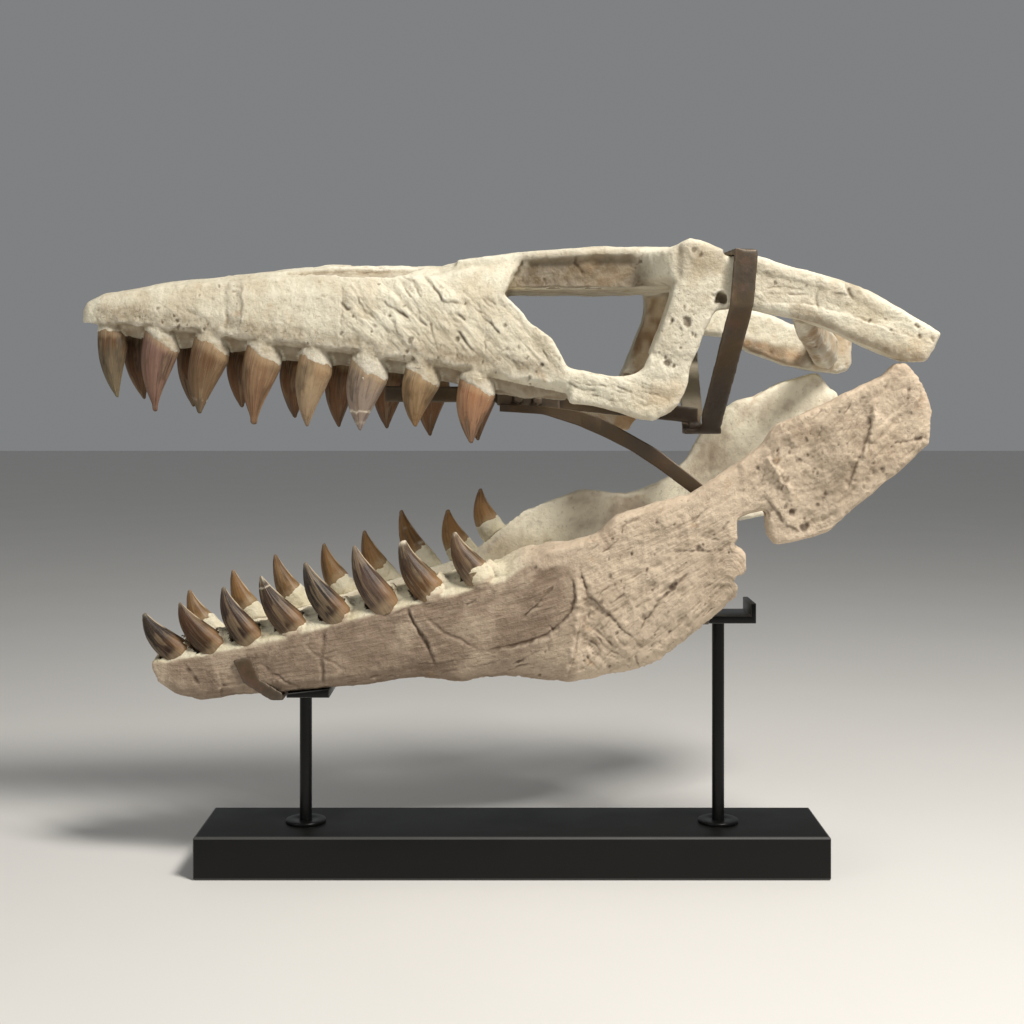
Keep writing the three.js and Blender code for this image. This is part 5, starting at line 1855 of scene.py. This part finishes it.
# %% Rusty iron
def rusty_iron():
    material, tree, shader, place = new_material("rusty iron")
    scale = cloud(tree, place, 52, 6, 0.7, 0.12)
    flaked = step(tree, cloud(tree, place, 46, 5, 0.65), 0.25, 0.55)
    rust = times(tree, step(tree, scale, 0.45, 0.7), scaled(tree, painted(tree, "rusted"), 0.6, 0.15))
    low_dark = times(tree, painted(tree, "low_dark"), scaled(tree, flaked, 0.4, 0.35))
    far_side_pale = times(tree, painted(tree, "far_side_pale"), scaled(tree, flaked, 0.3, 0.6))
    dark = mottled(tree, place, srgb(84, 68, 46), srgb(72, 64, 54), srgb(88, 64, 42), 0.9, 0.4)
    brown = mottled(tree, place, srgb(98, 66, 44), srgb(84, 54, 38), srgb(122, 84, 54), 0.9, 0.5)
    colour = blend(tree, rust, dark, brown)
    # darker towards the bottom, paler on the far side
    colour = blend(tree, low_dark, colour, srgb(44, 32, 20))
    colour = blend(tree, far_side_pale, colour, srgb(150, 142, 124))
    # painted shade in the iron's hollows and painted highlights on its ridges
    colour = worn(tree, colour, srgb(38, 30, 26), srgb(112, 100, 86))
    covered = maths(tree, "MAXIMUM", rust, maths(tree, "MAXIMUM", low_dark, far_side_pale))
    bright = maths(tree, "SUBTRACT", 0.5, times(tree, covered, 0.6), clamp=True)
    pitted = maths(tree, "ADD", scale, times(tree, cloud(tree, place, 420, 4, 0.65), 0.5))
    finish(tree, shader, colour, scaled(tree, rust, 0.25, 0.52), pitted, 0.5, 0.0009)
    feed(tree, shader.inputs["Metallic"], bright)
    return material


iron_finish = rusty_iron()
ironwork = cut_pieces(armature, "iron", iron_finish)
print("iron pieces:", len(ironwork))


# %% The curved bar
def smooth_but_edges(mesh, degrees):
    """Smooth shading that stops at edges sharper than an angle."""
    mesh.shade_smooth()
    mesh.set_sharp_from_angle(angle=math.radians(degrees))


def swept_bar(stations, top, bottom, side_at, half_width):
    """A flat bar on edge along a smooth curve, with its corners taken off."""
    middle = (top(stations) + bottom(stations)) / 2
    reach = (top(stations) - bottom(stations)) / 2
    window = np.hanning(13) / np.hanning(13).sum()
    middle, reach = (np.convolve(np.pad(v, 6, "reflect", reflect_type="odd"), window, "valid")
        for v in (middle, reach))
    section = [(-1, -0.86), (-0.7, -1), (0.7, -1), (1, -0.86), (1, 0.86), (0.7, 1), (-0.7, 1), (-1, 0.86)]
    rings = [[(x, side_at(x) + u * half_width, m + v * r) for u, v in section]
             for x, m, r in zip(stations, middle, reach)]
    return np.array(rings).reshape(-1, 3), grid_faces(len(rings), len(section))


bar_top = along((-14, 528), (35, 526), (75, 521), (100, 513), (130, 496), (160, 479), (205, 443),
    (224, 424))
bar_bottom = along((-14, 520), (35, 517), (75, 504), (100, 493), (130, 478), (160, 458), (200, 428),
    (224, 408))
bar_side = along((-14, -17), (180, -86), (212, -98), (224, -100))
bar_points, bar_faces = swept_bar(np.linspace(-14, 224, 120), bar_top, bar_bottom, bar_side, 3)
bar_points += 0.15 * np.column_stack([noise(bar_points, 12, 811 + i) for i in range(3)])
# one level of each mask along the bar: some rust, some darkening and a little painted highlight all along it
levels = dict(rusted=0.35, low_dark=0.2, far_side_pale=0.0, hollow=0.0, proud=0.15)
bar_masks = {mask: np.full(len(bar_points), level) for mask, level in levels.items()}
bar_mesh = new_mesh("curved bar", bar_points, bar_faces, bar_masks)
smooth_but_edges(bar_mesh, 35)
bar_mesh.materials.append(iron_finish)
curved_bar = place_piece("armature_curved_bar_iron", bar_mesh)
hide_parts("armature_curved_bar")
print("curved bar:", len(bar_faces), "faces")

# %% [markdown]
# ## The stand
#
# Two black steel rods rise from low discs on a long block with a satin black finish. The block's edges are
# just broken, so they catch a thin line of light, and they carry a painted highlight as well. Round parts
# are turned: an outline goes once round its own middle line.


# %% Black finishes
def black_finish(name, colour, dusty, rough, metal):
    """Paint or blued steel with a little haze and dusty specks, and a painted highlight along its broken
    edges.
    """
    material, tree, shader, place = new_material(name)
    specks = step(tree, cloud(tree, place, 260, 3, 0.6), 0.6, 0.78)
    haze = step(tree, cloud(tree, place, 9, 3, 0.5), 0.35, 0.75)
    colour = washed(tree, colour, haze, 0.25, dusty)
    colour = washed(tree, colour, specks, 0.15, dusty)
    # painted highlight on the broken edges
    colour = washed(tree, colour, painted(tree, "edge_glint"), 0.35, srgb(120, 120, 118))
    grain = cloud(tree, stretch(tree, place, (0.08, 1, 1)), 420, 3, 0.6)
    finish(tree, shader, colour, scaled(tree, haze, 0.12, rough), grain, 0.12, 0.0003)
    shader.inputs["Metallic"].default_value = metal
    shader.inputs["Specular IOR Level"].default_value = 0.25
    return material


satin_black = black_finish("satin black block", srgb(9, 9, 8), srgb(25, 24, 22), 0.42, 0.0)
black_steel = black_finish("black steel", srgb(14, 14, 14), srgb(32, 32, 31), 0.26, 0.3)


# %% Break the edges of a solid
def eased(name, width, segments, material):
    """A solid from the frame with its flat faces made whole and its edges broken. The broken edges are
    masked for a painted highlight."""
    work = bmesh.new()
    work.from_mesh(nodes[name].data)
    bmesh.ops.remove_doubles(work, verts=work.verts, dist=1e-6)
    bmesh.ops.dissolve_limit(work, angle_limit=math.radians(2), verts=work.verts, edges=work.edges)
    edge_glint = work.faces.layers.float.new("edge_glint")
    sharp = [e for e in work.edges if e.is_manifold and e.calc_face_angle() > math.radians(25)]
    broken = bmesh.ops.bevel(work, geom=sharp, offset=width * MM, segments=segments, profile=0.5,
        affect="EDGES", clamp_overlap=True)["faces"]
    for face in broken:
        face[edge_glint] = 1.0
    mesh = bpy.data.meshes.new(name)
    work.to_mesh(mesh)
    work.free()
    smooth_but_edges(mesh, 40)
    mesh.materials.append(material)
    piece = place_piece(f"{name}_finished", mesh)
    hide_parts(name)
    return piece


squared = [eased("stand_base", 0.9, 3, satin_black)]
for end in ("front", "rear"):
    squared.append(eased(f"stand_cradle_{end}", 0.8, 2, black_steel))
print("pieces with broken edges:", [piece.name for piece in squared])


# %% Turned parts
def turned(name, profile, material, slot):
    """Takes (radius, height) pairs round the middle line of a node's box."""
    low, high = (np.array(c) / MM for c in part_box(name))
    middle = (low + high) / 2
    turn = np.linspace(0, 2 * math.pi, 72, endpoint=False)
    points = [(middle[0] + radius * math.cos(a), middle[1] + radius * math.sin(a), z)
              for radius, z in profile for a in turn]
    mesh = new_mesh(name, points, grid_faces(len(profile), len(turn)))
    smooth_but_edges(mesh, 40)
    mesh.materials.append(material)
    piece = place_piece(f"{name}_turned", mesh)
    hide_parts(name)
    return piece


for end in ("front", "rear"):
    low, high = (c[2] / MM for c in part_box(f"stand_rod_{end}"))
    rod = [(6.4, low), (7, low + 0.6), (7, high - 0.6), (6.4, high)]
    turned(f"stand_rod_{end}", rod, black_steel, "stand_steel")
    low, high = (c[2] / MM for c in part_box(f"stand_flange_{end}"))
    disc = [(22.4, low), (23, low + 0.5), (23, high - 1.2), (22.6, high - 0.4), (21.8, high),
        (9.5, high), (9, high - 0.4), (7.4, high - 0.6)]
    turned(f"stand_flange_{end}", disc, black_steel, "stand_steel")
print("stand finished")

# %% [markdown]
# ## The studio
#
# A pale floor that runs back without an edge, one large soft light from the upper right and
# front, and an even fill from all round. The camera stands at the height of the gap between the
# jaws and looks straight across, so the base is seen a little from above.

# %% Floor
floor_mesh = bpy.data.meshes.new("floor")
floor_mesh.from_pydata([(-14, -14, 0), (14, -14, 0), (14, 14, 0), (-14, 14, 0)], [], [(0, 1, 2, 3)])
floor_material, floor_tree, floor_shader, floor_place = new_material("pale floor")
feed(floor_tree, floor_shader.inputs["Base Color"],
     blend(floor_tree, cloud(floor_tree, floor_place, 3), srgb(216, 214, 210), srgb(222, 220, 216)))
floor_shader.inputs["Roughness"].default_value = 0.8
floor_mesh.materials.append(floor_material)
floor = bpy.data.objects.new("floor", floor_mesh)
bpy.context.scene.collection.objects.link(floor)
print("floor:", tuple(floor.dimensions))


# %% Lights
LIT_PLACE = Vector((0, 0, 0.45))


def soft_light(name, place, size, power):
    """A square lamp that looks at the middle of the skull."""
    light = bpy.data.objects.new(name, bpy.data.lights.new(name, "AREA"))
    light.data.size = size
    light.data.energy = power
    light.data.color = (1, 0.965, 0.91)
    light.location = place
    light.rotation_euler = (LIT_PLACE - Vector(place)).to_track_quat("-Z", "Y").to_euler()
    bpy.context.scene.collection.objects.link(light)


soft_light("key light", (0.95, -1.15, 2.3), 0.6, 78)
soft_light("side fill", (-2.0, -1.6, 1.3), 1.0, 9)
studio = bpy.data.worlds.new("studio")
studio.use_nodes = True
background = studio.node_tree.nodes["Background"].inputs
background["Color"].default_value = (0.82, 0.84, 0.86, 1)
background["Strength"].default_value = 0.26
bpy.context.scene.world = studio
bpy.context.scene.view_settings.view_transform = "Standard"
print("lights:", [light.name for light in bpy.data.lights])

# %% Camera
EYE = (0, -1.725, 0.533)
FRAME_SIZE = 1024
camera = bpy.data.objects.new("camera", bpy.data.cameras.new("camera"))
camera.location = EYE
camera.rotation_euler = (math.radians(90), 0, 0)
camera.data.sensor_width = 36
camera.data.lens = camera.data.sensor_width * 1500 / FRAME_SIZE
camera.data.shift_y = -112 / FRAME_SIZE
bpy.context.scene.collection.objects.link(camera)
bpy.context.scene.camera = camera
print("lens:", round(camera.data.lens, 1), "mm")
